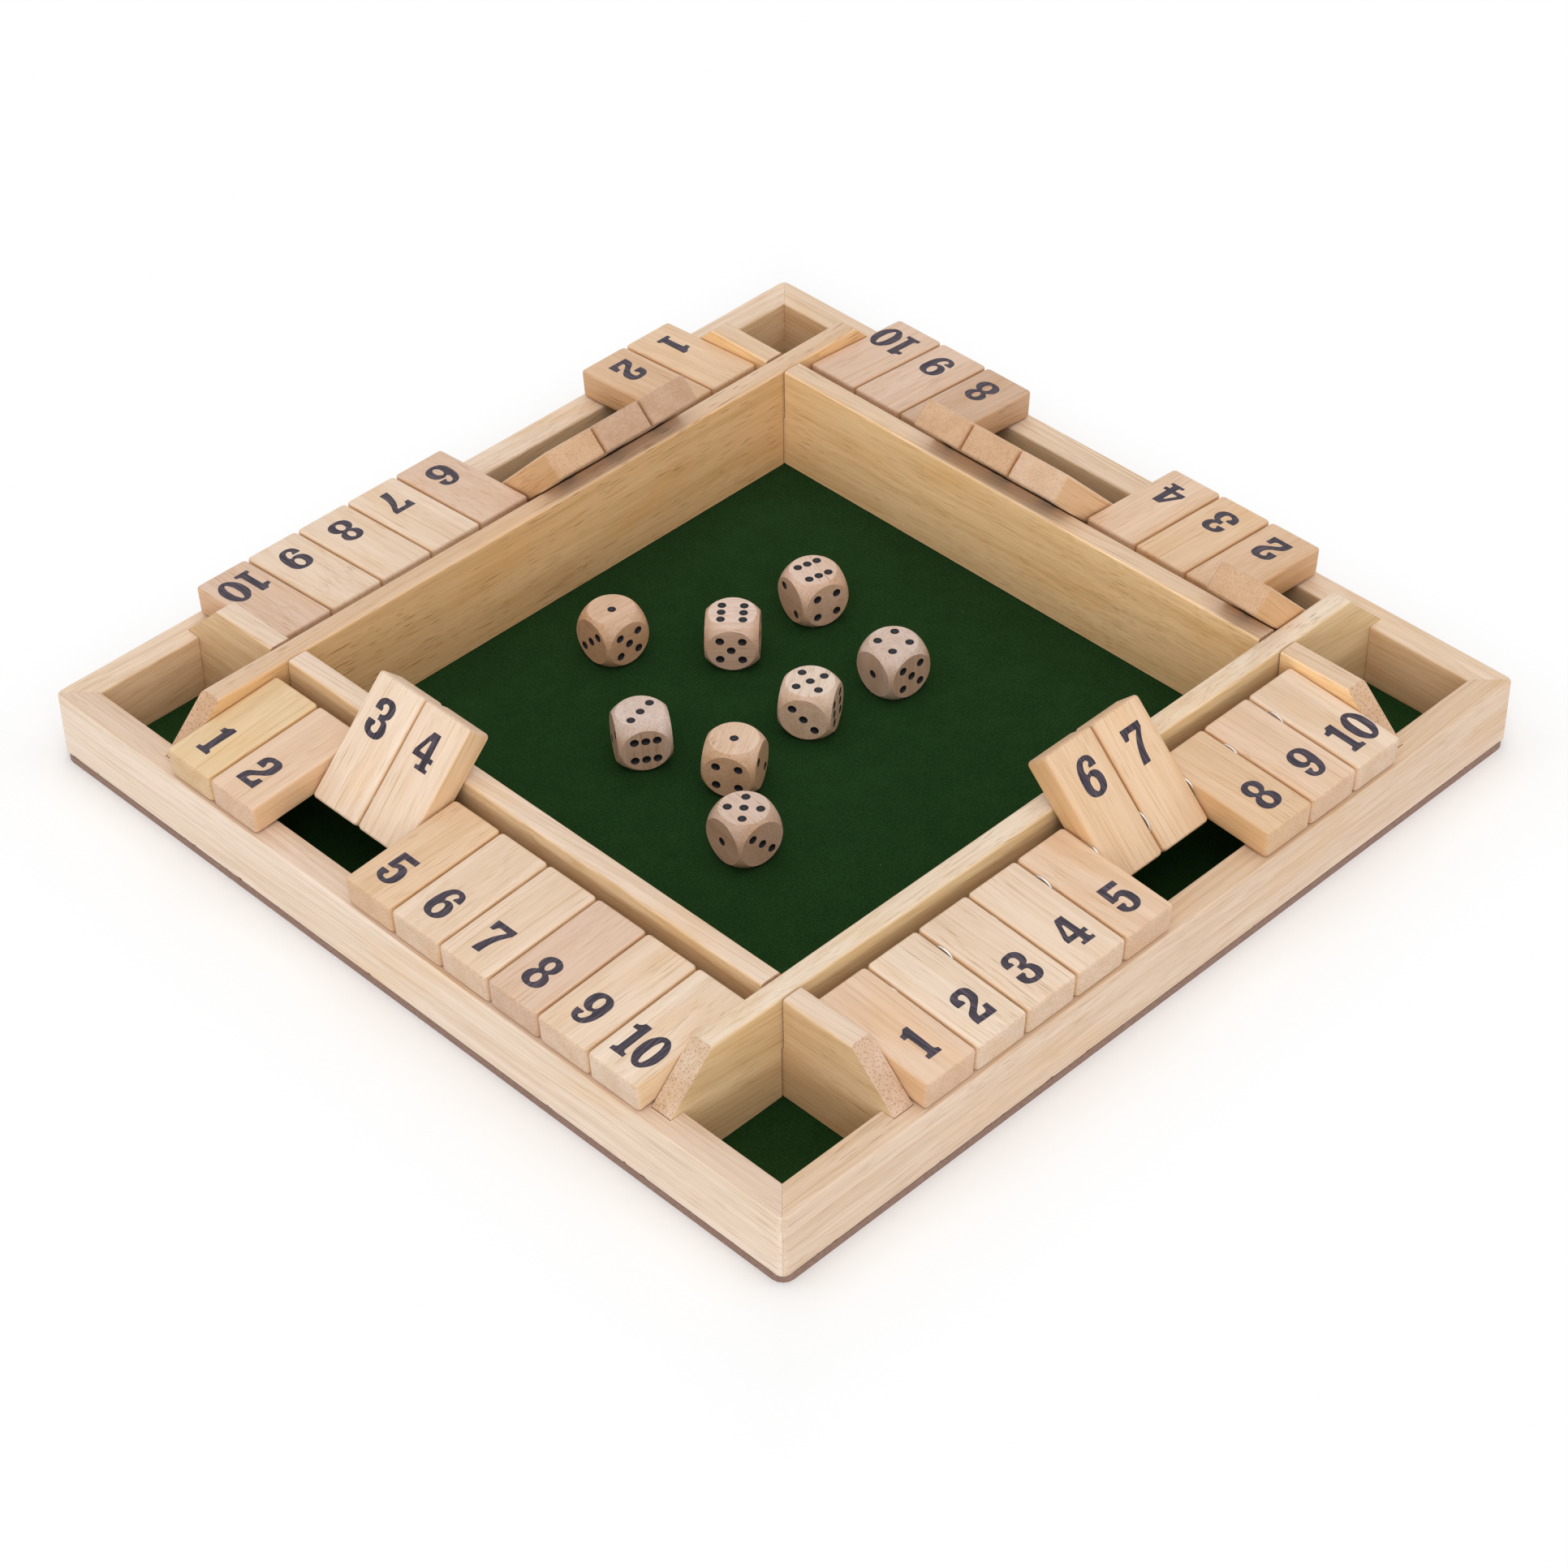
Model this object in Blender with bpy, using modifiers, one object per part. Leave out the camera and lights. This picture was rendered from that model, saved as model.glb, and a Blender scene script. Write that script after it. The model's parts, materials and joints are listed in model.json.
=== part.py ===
"""A four-player shut the box: a square wooden box with ten flip-over tiles on each side and eight dice.

Four boards cross each other to make a felt-floored tray. Between the tray and the outer rails lie four
troughs. A steel rod runs along each trough and ten numbered tiles turn on it, with a thin washer between
each pair. A tile lies with its outer end on the rail, or leans back against the board.
Units are metres, +Z is up, and the origin is the middle of the underside.
"""

from math import asin, atan2, cos, hypot, pi, radians, sin

import bmesh
import bpy
from mathutils import Matrix, Vector

# Clearance between pieces that touch or are glued
FIT = 0.0003

# Tiles. The tail is the short end, from the rod's axis to the tile's inner end.
TILE_COUNT = 10
TILE_WIDTH = 0.0184
TILE_LENGTH = 0.0402
TILE_THICKNESS = 0.0092
TILE_TAIL = 0.0101
TILE_EDGE_RADIUS = 0.0013
# Between the board and the circle that the tail's corner swings in
TAIL_CLEARANCE = 0.0031
# The height of a level tile's underside over the rail's top
TILE_LIFT = 0.0025
# From the rail's outer face in to the edge that a lying tile rests on
TILE_SETBACK = 0.00112

# Steel rods and the washers on them
ROD_RADIUS = 0.0015
ROD_CLEARANCE = 0.00015
SOCKET_DEPTH = 0.0035
WASHER_RADIUS = 0.0062
WASHER_THICKNESS = 0.0005
WASHER_CLEARANCE = 0.0001

# Base, felt and outer rails
BASE_THICKNESS = 0.0026
BASE_CORNER_RADIUS = 0.004
FELT_THICKNESS = 0.0008
RAIL_WIDTH = 0.0096
RAIL_HEIGHT = 0.0209
RAIL_EDGE_RADIUS = 0.0008
RAIL_CORNER_RADIUS = 0.0025
NOTCH_DEPTH = 0.0048

# Crossing boards. The rise is from the rod's axis up to a board's top.
BOARD_THICKNESS = 0.007
BOARD_RISE = 0.0081
BOARD_EDGE_RADIUS = 0.0008
BOARD_END_SLOPE = 45
# The rails meet at this angle, in degrees, at the corners
MITRE_ANGLE = 45

# Dice
DIE_SIZE = 0.016
DIE_FACE_RADIUS = 0.0072
PIP_RADIUS = 0.00125
PIP_DEPTH = 0.0006
PIP_SPACING = 0.0033

# How finely the round shapes are made: flats round a full turn, or along a rounded edge
ROD_SIDES = 12
BALL_SIDES = 20
PIP_SIDES = 8
CORNER_STEPS = 4
BOARD_EDGE_STEPS = 3
EDGE_STEPS = 2
# Edges that turn more sharply than this, in degrees, stay crisp in the shading
CRISP_ANGLE = 35

# Where each die lies in the tray: x and y in die sizes, turn about the upright in degrees, the number on
# top, and the number on the side that faces -Y before the turn
DICE = (
    (-4.05, -0.42, -5, 1, 3),
    (-2.39, 1.06, 42, 6, 5),
    (-2.23, 3.0, -14, 6, 2),
    (0.32, 2.51, -5, 4, 1),
    (0.04, 0.64, 30, 5, 3),
    (-1.53, -2.08, -33, 3, 2),
    (0.2, -1.43, 30, 1, 4),
    (1.66, -2.62, -6, 5, 1),
)

# Each side, seen by its player: the turn that brings it from the front, and the tiles that stand up
SIDES = (
    ("front", 0, (3, 4)),
    ("right", 90, (6, 7)),
    ("back", 180, (1, 5, 6, 7)),
    ("left", 270, (3, 4, 5)),
)

# Heights that follow from the sizes above
FELT_BOTTOM = BASE_THICKNESS + FIT
FELT_TOP = FELT_BOTTOM + FELT_THICKNESS
RAIL_BOTTOM = BASE_THICKNESS + FIT
RAIL_TOP = RAIL_BOTTOM + RAIL_HEIGHT
ROD_LEVEL = RAIL_TOP + TILE_LIFT + TILE_THICKNESS / 2
BOARD_BOTTOM = FELT_TOP + FIT
BOARD_TOP = ROD_LEVEL + BOARD_RISE
LAP_LEVEL = (BOARD_BOTTOM + BOARD_TOP) / 2

# Distances from the middle towards a rail, up to the rod
TILE_PITCH = TILE_WIDTH + WASHER_THICKNESS + 2 * WASHER_CLEARANCE
TRAY_HALF = TILE_COUNT * TILE_PITCH / 2
BOARD_OFFSET = TRAY_HALF + BOARD_THICKNESS / 2
BOARD_OUT = TRAY_HALF + BOARD_THICKNESS
ROD_OUT = BOARD_OUT + hypot(TILE_TAIL, TILE_THICKNESS / 2) + TAIL_CLEARANCE

# How a tile lies, outer end up, when the lower edge of that end rests on the rail
TILE_REACH = TILE_LENGTH - TILE_TAIL
LYING_DROP = RAIL_TOP + FIT - ROD_LEVEL
LYING_RADIUS = hypot(TILE_REACH, TILE_THICKNESS / 2)
LYING_ANGLE = asin(LYING_DROP / LYING_RADIUS) + atan2(TILE_THICKNESS / 2, TILE_REACH)

# How it stands when it has swung over and its upper face leans on the board's rounded edge
EDGE_BACK = ROD_OUT - BOARD_OUT + BOARD_EDGE_RADIUS
EDGE_RISE = BOARD_RISE - BOARD_EDGE_RADIUS
EDGE_AWAY = TILE_THICKNESS / 2 + BOARD_EDGE_RADIUS + FIT
STANDING_ANGLE = pi - asin(EDGE_AWAY / hypot(EDGE_BACK, EDGE_RISE)) - atan2(EDGE_RISE, EDGE_BACK)

# Distances from the middle, beyond the rod
TILE_END = ROD_OUT + TILE_REACH * cos(LYING_ANGLE) + TILE_THICKNESS / 2 * sin(LYING_ANGLE)
RAIL_OUT = TILE_END + TILE_SETBACK
RAIL_IN = RAIL_OUT - RAIL_WIDTH
BOARD_END = RAIL_IN + NOTCH_DEPTH - FIT

ROD_HALF_LENGTH = TRAY_HALF + SOCKET_DEPTH - FIT
BORE_RADIUS = (ROD_RADIUS + ROD_CLEARANCE) / cos(pi / ROD_SIDES)
# A cutter runs this far past the faces that it goes through
PAST = 0.002
CRISP_TURN = radians(CRISP_ANGLE)


def new_collection(name):
    collection = bpy.data.collections.new(name)
    bpy.context.scene.collection.children.link(collection)
    return collection


def new_material(name, colour, roughness, metallic=0.0):
    material = bpy.data.materials.new(name)
    material.use_nodes = True
    shader = material.node_tree.nodes["Principled BSDF"]
    shader.inputs["Base Color"].default_value = (*colour, 1.0)
    shader.inputs["Roughness"].default_value = roughness
    shader.inputs["Metallic"].default_value = metallic
    material.diffuse_color = (*colour, 1.0)
    return material


def new_mesh(name, shape):
    mesh = bpy.data.meshes.new(name)
    shape.to_mesh(mesh)
    shape.free()
    return mesh


def add_part(name, mesh, material, parent=None):
    """A piece of the box: its own object, with its own copy of the material."""
    part = bpy.data.objects.new(name, mesh)
    PARTS.objects.link(part)
    part.parent = parent
    own = material.copy()
    own.name = name
    if not mesh.materials:
        mesh.materials.append(own)
    mesh.shade_smooth()
    mesh.set_sharp_from_angle(angle=CRISP_TURN)
    part.material_slots[0].link = "OBJECT"
    part.material_slots[0].material = own
    return part


def add_cutter(name, mesh, parent=None):
    cutter = bpy.data.objects.new(name, mesh)
    CUTTERS.objects.link(cutter)
    cutter.parent = parent
    cutter.hide_render = True
    cutter.display_type = "WIRE"
    return cutter


def add_boolean(obj, other, operation="DIFFERENCE"):
    modifier = obj.modifiers.new(other.name, "BOOLEAN")
    modifier.operation = operation
    modifier.solver = "EXACT"
    modifier.object = other


def add_box(shape, low, high):
    """A box between two corners, as new geometry of the bmesh."""
    low, high = Vector(low), Vector(high)
    size = high - low
    place = Matrix.Translation((low + high) / 2) @ Matrix.Diagonal((*size, 1.0))
    bmesh.ops.create_cube(shape, size=1.0, matrix=place)


def box_mesh(name, boxes):
    shape = bmesh.new()
    for low, high in boxes:
        add_box(shape, low, high)
    return new_mesh(name, shape)


def add_cylinder(shape, radius, low, high, sides, turn):
    """A cylinder along Z from low to high before turn, a matrix, places it."""
    place = turn @ Matrix.Translation((0, 0, (low + high) / 2))
    bmesh.ops.create_cone(
        shape, cap_ends=True, segments=sides, radius1=radius, radius2=radius, depth=high - low, matrix=place
    )


def edge_runs(edge, direction):
    along = edge.verts[1].co - edge.verts[0].co
    return along.normalized().cross(direction).length < 0.001


def lies_at(edge, level):
    return all(abs(vert.co.z - level) < FIT for vert in edge.verts)


def round_edges(shape, edges, radius, segments):
    bmesh.ops.bevel(
        shape, geom=edges, offset=radius, segments=segments, profile=0.5, affect="EDGES", clamp_overlap=True
    )


def square_plate(name, half, corner_radius, bottom, top):
    """A square slab with rounded upright corners."""
    shape = bmesh.new()
    add_box(shape, (-half, -half, bottom), (half, half, top))
    upright = [edge for edge in shape.edges if edge_runs(edge, Vector((0, 0, 1)))]
    round_edges(shape, upright, corner_radius, CORNER_STEPS)
    return new_mesh(name, shape)


def baked(obj):
    """The object's mesh with its modifiers applied. The object itself is removed."""
    bpy.context.view_layer.update()
    evaluated = obj.evaluated_get(bpy.context.evaluated_depsgraph_get())
    mesh = bpy.data.meshes.new_from_object(evaluated)
    bpy.data.objects.remove(obj)
    return mesh


def make_base():
    mesh = square_plate("base_board", RAIL_OUT, BASE_CORNER_RADIUS, 0, BASE_THICKNESS)
    add_part("base_board", mesh, HARDBOARD)


def make_felt():
    """One sheet over the whole floor. The boards stand on it."""
    half = RAIL_IN - FIT
    mesh = box_mesh("felt_lining", [((-half, -half, FELT_BOTTOM), (half, half, FELT_TOP))])
    add_part("felt_lining", mesh, FELT)


def rail_ring():
    """The four rails as one mitred ring with softened top edges, before it is parted."""
    outer = square_plate("rail_ring", RAIL_OUT, RAIL_CORNER_RADIUS, RAIL_BOTTOM, RAIL_TOP)
    ring = bpy.data.objects.new("rail_ring", outer)
    PARTS.objects.link(ring)
    hole = box_mesh("rail_opening", [((-RAIL_IN, -RAIL_IN, -PAST), (RAIL_IN, RAIL_IN, RAIL_TOP + PAST))])
    opening = add_cutter("rail_opening", hole)
    add_boolean(ring, opening)
    shape = bmesh.new()
    shape.from_mesh(baked(ring))
    bpy.data.objects.remove(opening)
    rim = [edge for edge in shape.edges if lies_at(edge, RAIL_TOP) and edge.calc_face_angle() > CRISP_TURN]
    round_edges(shape, rim, RAIL_EDGE_RADIUS, EDGE_STEPS)
    return new_mesh("rail_ring", shape)


def rail_notches():
    """Housings in the rails' inner faces for the eight board ends."""
    half = BOARD_THICKNESS / 2 + FIT
    boxes = []
    for across in (-BOARD_OFFSET, BOARD_OFFSET):
        for end in (-1, 1):
            near, far = sorted((end * (RAIL_IN - PAST), end * (RAIL_IN + NOTCH_DEPTH)))
            boxes.append(((across - half, near, -PAST), (across + half, far, RAIL_TOP + PAST)))
            boxes.append(((near, across - half, -PAST), (far, across + half, RAIL_TOP + PAST)))
    return add_cutter("rail_notches", box_mesh("rail_notches", boxes))


def make_rails():
    """Two L-shaped halves, each a pair of rails glued at a mitre. The halves meet at the other two mitres."""
    ring = rail_ring()
    notches = rail_notches()
    reach = 4 * RAIL_OUT
    seam = FIT / 2
    spans = {"rails_front_right": (-seam, reach), "rails_back_left": (-reach, seam)}
    for name, (low, high) in spans.items():
        half = add_part(name, ring.copy(), RAIL_WOOD)
        box = box_mesh(name + "_parting", [((-reach, low, -PAST), (reach, high, RAIL_TOP + PAST))])
        parting = add_cutter(name + "_parting", box)
        parting.rotation_euler.z = radians(MITRE_ANGLE)
        add_boolean(half, parting)
        add_boolean(half, notches)


def board_blank(name):
    """A board along X before its joints are cut: its ends slope from its top down to the rail's top."""
    half = BOARD_THICKNESS / 2
    low = (-BOARD_END, -BOARD_OFFSET - half, BOARD_BOTTOM)
    high = (BOARD_END, -BOARD_OFFSET + half, BOARD_TOP)
    shape = bmesh.new()
    add_box(shape, low, high)
    for end in (-1, 1):
        geometry = shape.verts[:] + shape.edges[:] + shape.faces[:]
        slope = (end * sin(radians(BOARD_END_SLOPE)), 0, cos(radians(BOARD_END_SLOPE)))
        corner = (end * BOARD_END, 0, RAIL_TOP)
        cut = bmesh.ops.bisect_plane(shape, geom=geometry, plane_co=corner, plane_no=slope, clear_outer=True)
        rim = [item for item in cut["geom_cut"] if isinstance(item, bmesh.types.BMEdge)]
        bmesh.ops.edgenet_fill(shape, edges=rim)
    top = [edge for edge in shape.edges if edge_runs(edge, Vector((1, 0, 0))) and lies_at(edge, BOARD_TOP)]
    round_edges(shape, top, BOARD_EDGE_RADIUS, BOARD_EDGE_STEPS)
    bmesh.ops.recalc_face_normals(shape, faces=shape.faces[:])
    return new_mesh(name, shape)


def make_board(side, over):
    """A crossing board. Those that lie over the others are notched from below, the rest from above."""
    name = "board_" + side.name
    board = add_part(name, board_blank(name), BOARD_WOOD, side)
    half = BOARD_THICKNESS / 2 + FIT
    if over:
        low, high = BOARD_BOTTOM - PAST, LAP_LEVEL + FIT / 2
    else:
        low, high = LAP_LEVEL - FIT / 2, BOARD_TOP + PAST
    laps = []
    for across in (-BOARD_OFFSET, BOARD_OFFSET):
        laps.append(((across - half, -BOARD_OUT - PAST, low), (across + half, -TRAY_HALF + PAST, high)))
    add_boolean(board, add_cutter(name + "_laps", box_mesh(name + "_laps", laps), side))
    sockets = bmesh.new()
    for out in (-ROD_OUT, ROD_OUT):
        turned = Matrix.Translation((out, -TRAY_HALF, ROD_LEVEL)) @ Matrix.Rotation(radians(90), 4, "X")
        add_cylinder(sockets, BORE_RADIUS, -PAST, SOCKET_DEPTH, ROD_SIDES, turned)
    add_boolean(board, add_cutter(name + "_sockets", new_mesh(name + "_sockets", sockets), side))


def rod_mesh():
    """A steel rod with its washers, turned from one profile. Its ends sit in blind sockets in the boards."""
    profile = [(0, ROD_HALF_LENGTH), (ROD_RADIUS, ROD_HALF_LENGTH)]
    for number in range(TILE_COUNT - 1, 0, -1):
        middle = (number - TILE_COUNT / 2) * TILE_PITCH
        upper, lower = middle + WASHER_THICKNESS / 2, middle - WASHER_THICKNESS / 2
        profile += [(ROD_RADIUS, upper), (WASHER_RADIUS, upper), (WASHER_RADIUS, lower), (ROD_RADIUS, lower)]
    profile += [(ROD_RADIUS, -ROD_HALF_LENGTH), (0, -ROD_HALF_LENGTH)]
    shape = bmesh.new()
    points = [shape.verts.new((radius, 0, level)) for radius, level in profile]
    for first, second in zip(points, points[1:]):
        shape.edges.new((first, second))
    rod = bpy.data.objects.new("rod", new_mesh("rod", shape))
    PARTS.objects.link(rod)
    screw = rod.modifiers.new("turned", "SCREW")
    screw.steps = ROD_SIDES
    screw.render_steps = ROD_SIDES
    screw.use_merge_vertices = True
    screw.merge_threshold = 0.00001
    return baked(rod)


def make_rod(side):
    rod = add_part("rod_" + side.name, ROD_MESH, STEEL, side)
    rod.location = (0, -ROD_OUT, ROD_LEVEL)
    rod.rotation_euler.y = radians(90)


def tile_mesh():
    """A tile with its long edges rounded and its rod bore, about the rod's axis, outer end towards -Y."""
    half = TILE_THICKNESS / 2
    shape = bmesh.new()
    add_box(shape, (-TILE_WIDTH / 2, -TILE_REACH, -half), (TILE_WIDTH / 2, TILE_TAIL, half))
    long_edges = [edge for edge in shape.edges if edge_runs(edge, Vector((0, 1, 0)))]
    round_edges(shape, long_edges, TILE_EDGE_RADIUS, EDGE_STEPS)
    tile = bpy.data.objects.new("tile", new_mesh("tile", shape))
    PARTS.objects.link(tile)
    bore = bmesh.new()
    reach = TILE_WIDTH / 2 + PAST
    add_cylinder(bore, BORE_RADIUS, -reach, reach, ROD_SIDES, Matrix.Rotation(radians(90), 4, "Y"))
    cutter = add_cutter("tile_bore", new_mesh("tile_bore", bore))
    add_boolean(tile, cutter)
    mesh = baked(tile)
    bpy.data.objects.remove(cutter)
    return mesh


def make_tiles(side, standing):
    for number in range(1, TILE_COUNT + 1):
        tile = add_part(f"tile_{side.name}_{number:02d}", TILE_MESH, TILE_WOOD, side)
        across = (number - (TILE_COUNT + 1) / 2) * TILE_PITCH
        tile.location = (across, -ROD_OUT, ROD_LEVEL)
        tile.rotation_euler.x = -STANDING_ANGLE if number in standing else -LYING_ANGLE


def make_side(name, turn, standing):
    """Everything that belongs to one player: a board, its rod and ten tiles, modelled at the front."""
    side = bpy.data.objects.new(name, None)
    PARTS.objects.link(side)
    side.rotation_euler.z = radians(turn)
    make_board(side, over=name in ("left", "right"))
    make_rod(side)
    make_tiles(side, standing)


# Each number's side of the die: its outward direction, and the direction across its pips
DIE_FACES = {
    1: (Vector((0, 0, 1)), Vector((1, 0, 0))),
    2: (Vector((1, 0, 0)), Vector((0, 1, 0))),
    3: (Vector((0, 1, 0)), Vector((1, 0, 0))),
    4: (Vector((0, -1, 0)), Vector((1, 0, 0))),
    5: (Vector((-1, 0, 0)), Vector((0, 1, 0))),
    6: (Vector((0, 0, -1)), Vector((1, 0, 0))),
}


def pip_places(number):
    """Where a face's pips lie, in steps of the pip spacing. The steps are along its two directions."""
    places = [(0, 0)] if number % 2 else []
    if number > 1:
        places += [(1, -1), (-1, 1)]
    if number > 3:
        places += [(1, 1), (-1, -1)]
    if number == 6:
        places += [(0, 1), (0, -1)]
    return places


def die_mesh():
    """A cube rounded by a ball, with a shallow cone drilled for every pip."""
    half = DIE_SIZE / 2
    die = bpy.data.objects.new("die", box_mesh("die", [((-half,) * 3, (half,) * 3)]))
    PARTS.objects.link(die)
    ball = bmesh.new()
    radius = hypot(half, DIE_FACE_RADIUS)
    bmesh.ops.create_uvsphere(ball, u_segments=BALL_SIDES, v_segments=BALL_SIDES // 2, radius=radius)
    rounding = add_cutter("die_rounding", new_mesh("die_rounding", ball))
    add_boolean(die, rounding, "INTERSECT")
    cones = bmesh.new()
    for number, (outward, across) in DIE_FACES.items():
        other = outward.cross(across)
        if other.z < 0 or other.y < 0:
            other.negate()
        for first, second in pip_places(number):
            centre = outward * half + (across * first + other * second) * PIP_SPACING
            turn = outward.to_track_quat("Z", "Y").to_matrix().to_4x4()
            # The cone is as deep above the face as below it, so it meets the face at half its width
            bmesh.ops.create_cone(
                cones,
                cap_ends=True,
                segments=PIP_SIDES,
                radius1=0,
                radius2=2 * PIP_RADIUS,
                depth=2 * PIP_DEPTH,
                matrix=Matrix.Translation(centre) @ turn,
            )
    pips = add_cutter("die_pips", new_mesh("die_pips", cones))
    add_boolean(die, pips)
    mesh = baked(die)
    bpy.data.objects.remove(rounding)
    bpy.data.objects.remove(pips)
    return mesh


def die_turn(turn, top, facing):
    """The rotation that brings the number top up and the number facing to the side that turn starts from."""
    up = DIE_FACES[top][0]
    back = -DIE_FACES[facing][0]
    return Matrix.Rotation(radians(turn), 3, "Z") @ Matrix((back.cross(up), back, up))


def make_dice():
    mesh = die_mesh()
    for number, (x, y, turn, top, facing) in enumerate(DICE, 1):
        die = add_part(f"die_{number}", mesh, DIE_WOOD)
        die.location = (x * DIE_SIZE, y * DIE_SIZE, FELT_TOP + FIT + DIE_SIZE / 2)
        die.rotation_euler = die_turn(turn, top, facing).to_euler()


for old in list(bpy.data.objects):
    bpy.data.objects.remove(old)
PARTS = new_collection("shut_the_box")
CUTTERS = new_collection("cutters")
HARDBOARD = new_material("hardboard", (0.16, 0.10, 0.07), 0.7)
FELT = new_material("felt", (0.012, 0.05, 0.018), 0.95)
RAIL_WOOD = new_material("rail_wood", (0.66, 0.48, 0.31), 0.5)
BOARD_WOOD = new_material("board_wood", (0.68, 0.50, 0.33), 0.5)
TILE_WOOD = new_material("tile_wood", (0.70, 0.52, 0.35), 0.5)
DIE_WOOD = new_material("die_wood", (0.62, 0.44, 0.29), 0.45)
STEEL = new_material("steel", (0.62, 0.62, 0.63), 0.25, metallic=1.0)

make_base()
make_felt()
make_rails()
ROD_MESH = rod_mesh()
TILE_MESH = tile_mesh()
for side_name, side_turn, standing_tiles in SIDES:
    make_side(side_name, side_turn, standing_tiles)
make_dice()
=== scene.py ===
# %% [markdown]
# # Shut the box for four players
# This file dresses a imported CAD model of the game. The model gives the exact place of each piece and the
# joints that they move on. Each cell builds one kind of piece a little finer than the CAD has it.
# All lengths are in metres, with +Z up and the origin under the middle of the box.

import json
from math import cos, hypot, pi, radians, sin

import bmesh
import bpy
import numpy as np
from mathutils import Matrix, Vector

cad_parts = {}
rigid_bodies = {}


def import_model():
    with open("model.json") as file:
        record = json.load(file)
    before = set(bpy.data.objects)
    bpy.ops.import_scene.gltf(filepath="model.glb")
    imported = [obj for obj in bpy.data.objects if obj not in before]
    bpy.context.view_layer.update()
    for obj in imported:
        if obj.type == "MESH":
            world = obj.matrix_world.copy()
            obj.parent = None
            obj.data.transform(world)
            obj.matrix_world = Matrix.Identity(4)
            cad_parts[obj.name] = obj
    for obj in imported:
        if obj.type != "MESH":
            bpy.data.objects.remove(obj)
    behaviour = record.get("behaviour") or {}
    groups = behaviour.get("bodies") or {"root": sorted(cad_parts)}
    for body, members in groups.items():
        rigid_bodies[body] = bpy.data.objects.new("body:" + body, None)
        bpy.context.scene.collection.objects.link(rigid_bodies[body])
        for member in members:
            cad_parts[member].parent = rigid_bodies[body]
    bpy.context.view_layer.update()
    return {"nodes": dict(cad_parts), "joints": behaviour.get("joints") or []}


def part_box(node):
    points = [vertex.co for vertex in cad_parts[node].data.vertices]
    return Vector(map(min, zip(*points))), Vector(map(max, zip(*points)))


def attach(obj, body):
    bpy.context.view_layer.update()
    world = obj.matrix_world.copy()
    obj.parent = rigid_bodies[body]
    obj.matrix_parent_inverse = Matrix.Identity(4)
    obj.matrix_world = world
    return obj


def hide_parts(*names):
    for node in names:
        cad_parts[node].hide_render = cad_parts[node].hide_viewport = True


for old in list(bpy.data.objects):
    bpy.data.objects.remove(old)
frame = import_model()
MM = 0.001

# %% [markdown]
# ## The camera
# The box is seen from above one corner, at about forty degrees, through a long lens. The place was worked
# out from the square outline of the box and the heights of its rails and boards.

# %% Camera
# The lens and the film's width, in millimetres
LENS, FILM_WIDTH = 92.365, 36
AZIMUTH, ELEVATION, ROLL = radians(45.705), radians(40.637), radians(-0.963)
DISTANCE = 1.15296
TARGET = Vector((0.01069, -0.01079, 0))

back = Vector((sin(AZIMUTH) * cos(ELEVATION), -cos(AZIMUTH) * cos(ELEVATION), sin(ELEVATION)))
across = (-back).cross(Vector((0, 0, 1))).normalized()
upright = across.cross(-back)
right = cos(ROLL) * across + sin(ROLL) * upright
up = cos(ROLL) * upright - sin(ROLL) * across
camera = bpy.data.objects.new("camera", bpy.data.cameras.new("camera"))
bpy.context.scene.collection.objects.link(camera)
camera.data.lens = LENS
camera.data.sensor_width = FILM_WIDTH
camera.data.clip_start, camera.data.clip_end = 0.05, 50
facing = Matrix((right, up, back)).transposed().to_4x4()
camera.matrix_world = Matrix.Translation(TARGET + back * DISTANCE) @ facing
bpy.context.scene.camera = camera
bpy.context.scene.view_settings.view_transform = "Standard"
print("camera at", [round(x, 4) for x in camera.location])

# %% [markdown]
# ## Small helpers for node trees
# A colour is written as it looks on a screen, from 0 to 255, and turned into light here. The first node
# helper adds a node of any kind and fills its inputs by name or number, and links a value that is a socket.
# The rest are short names for the few kinds of shader node that every finish below is made of.


# %% Node helpers
def colour(red, green, blue):
    parts = [part / 255 for part in (red, green, blue)]
    return (*[part / 12.92 if part < 0.04045 else ((part + 0.055) / 1.055) ** 2.4 for part in parts], 1.0)


def add_node(tree, kind, inputs=(), **settings):
    made = tree.nodes.new(kind)
    for name, value in settings.items():
        setattr(made, name, value)
    for name, value in dict(inputs).items():
        if isinstance(value, bpy.types.NodeSocket):
            tree.links.new(value, made.inputs[name])
        else:
            made.inputs[name].default_value = value
    return made


def node(tree, kind, inputs=(), **settings):
    return add_node(tree, "ShaderNode" + kind, inputs, **settings)


def math(tree, operation, first, second=0.0, third=0.0, clamp=False):
    inputs = {0: first, 1: second, 2: third}
    return node(tree, "Math", inputs, operation=operation, use_clamp=clamp).outputs[0]


def ramp(tree, value, low, high, to_low=0.0, to_high=1.0):
    """The value moved from one range to another, smoothly, and held at its ends."""
    inputs = {"Value": value, 1: low, 2: high, 3: to_low, 4: to_high}
    return node(tree, "MapRange", inputs, interpolation_type="SMOOTHSTEP").outputs[0]


def mix(tree, factor, first, second, blend="MIX"):
    inputs = {0: factor, 6: first, 7: second}
    return node(tree, "Mix", inputs, data_type="RGBA", blend_type=blend).outputs[2]


def new_material(name, **constants):
    """A material, its node tree and its Principled shader, with constant inputs set on the shader itself."""
    material = bpy.data.materials.new(name)
    material.use_nodes = True
    shader = material.node_tree.nodes["Principled BSDF"]
    for key, value in constants.items():
        shader.inputs[key.replace("_", " ")].default_value = value
    return material, material.node_tree, shader


print("helpers ready, mid grey is", [round(x, 3) for x in colour(128, 128, 128)[:3]])

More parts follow.
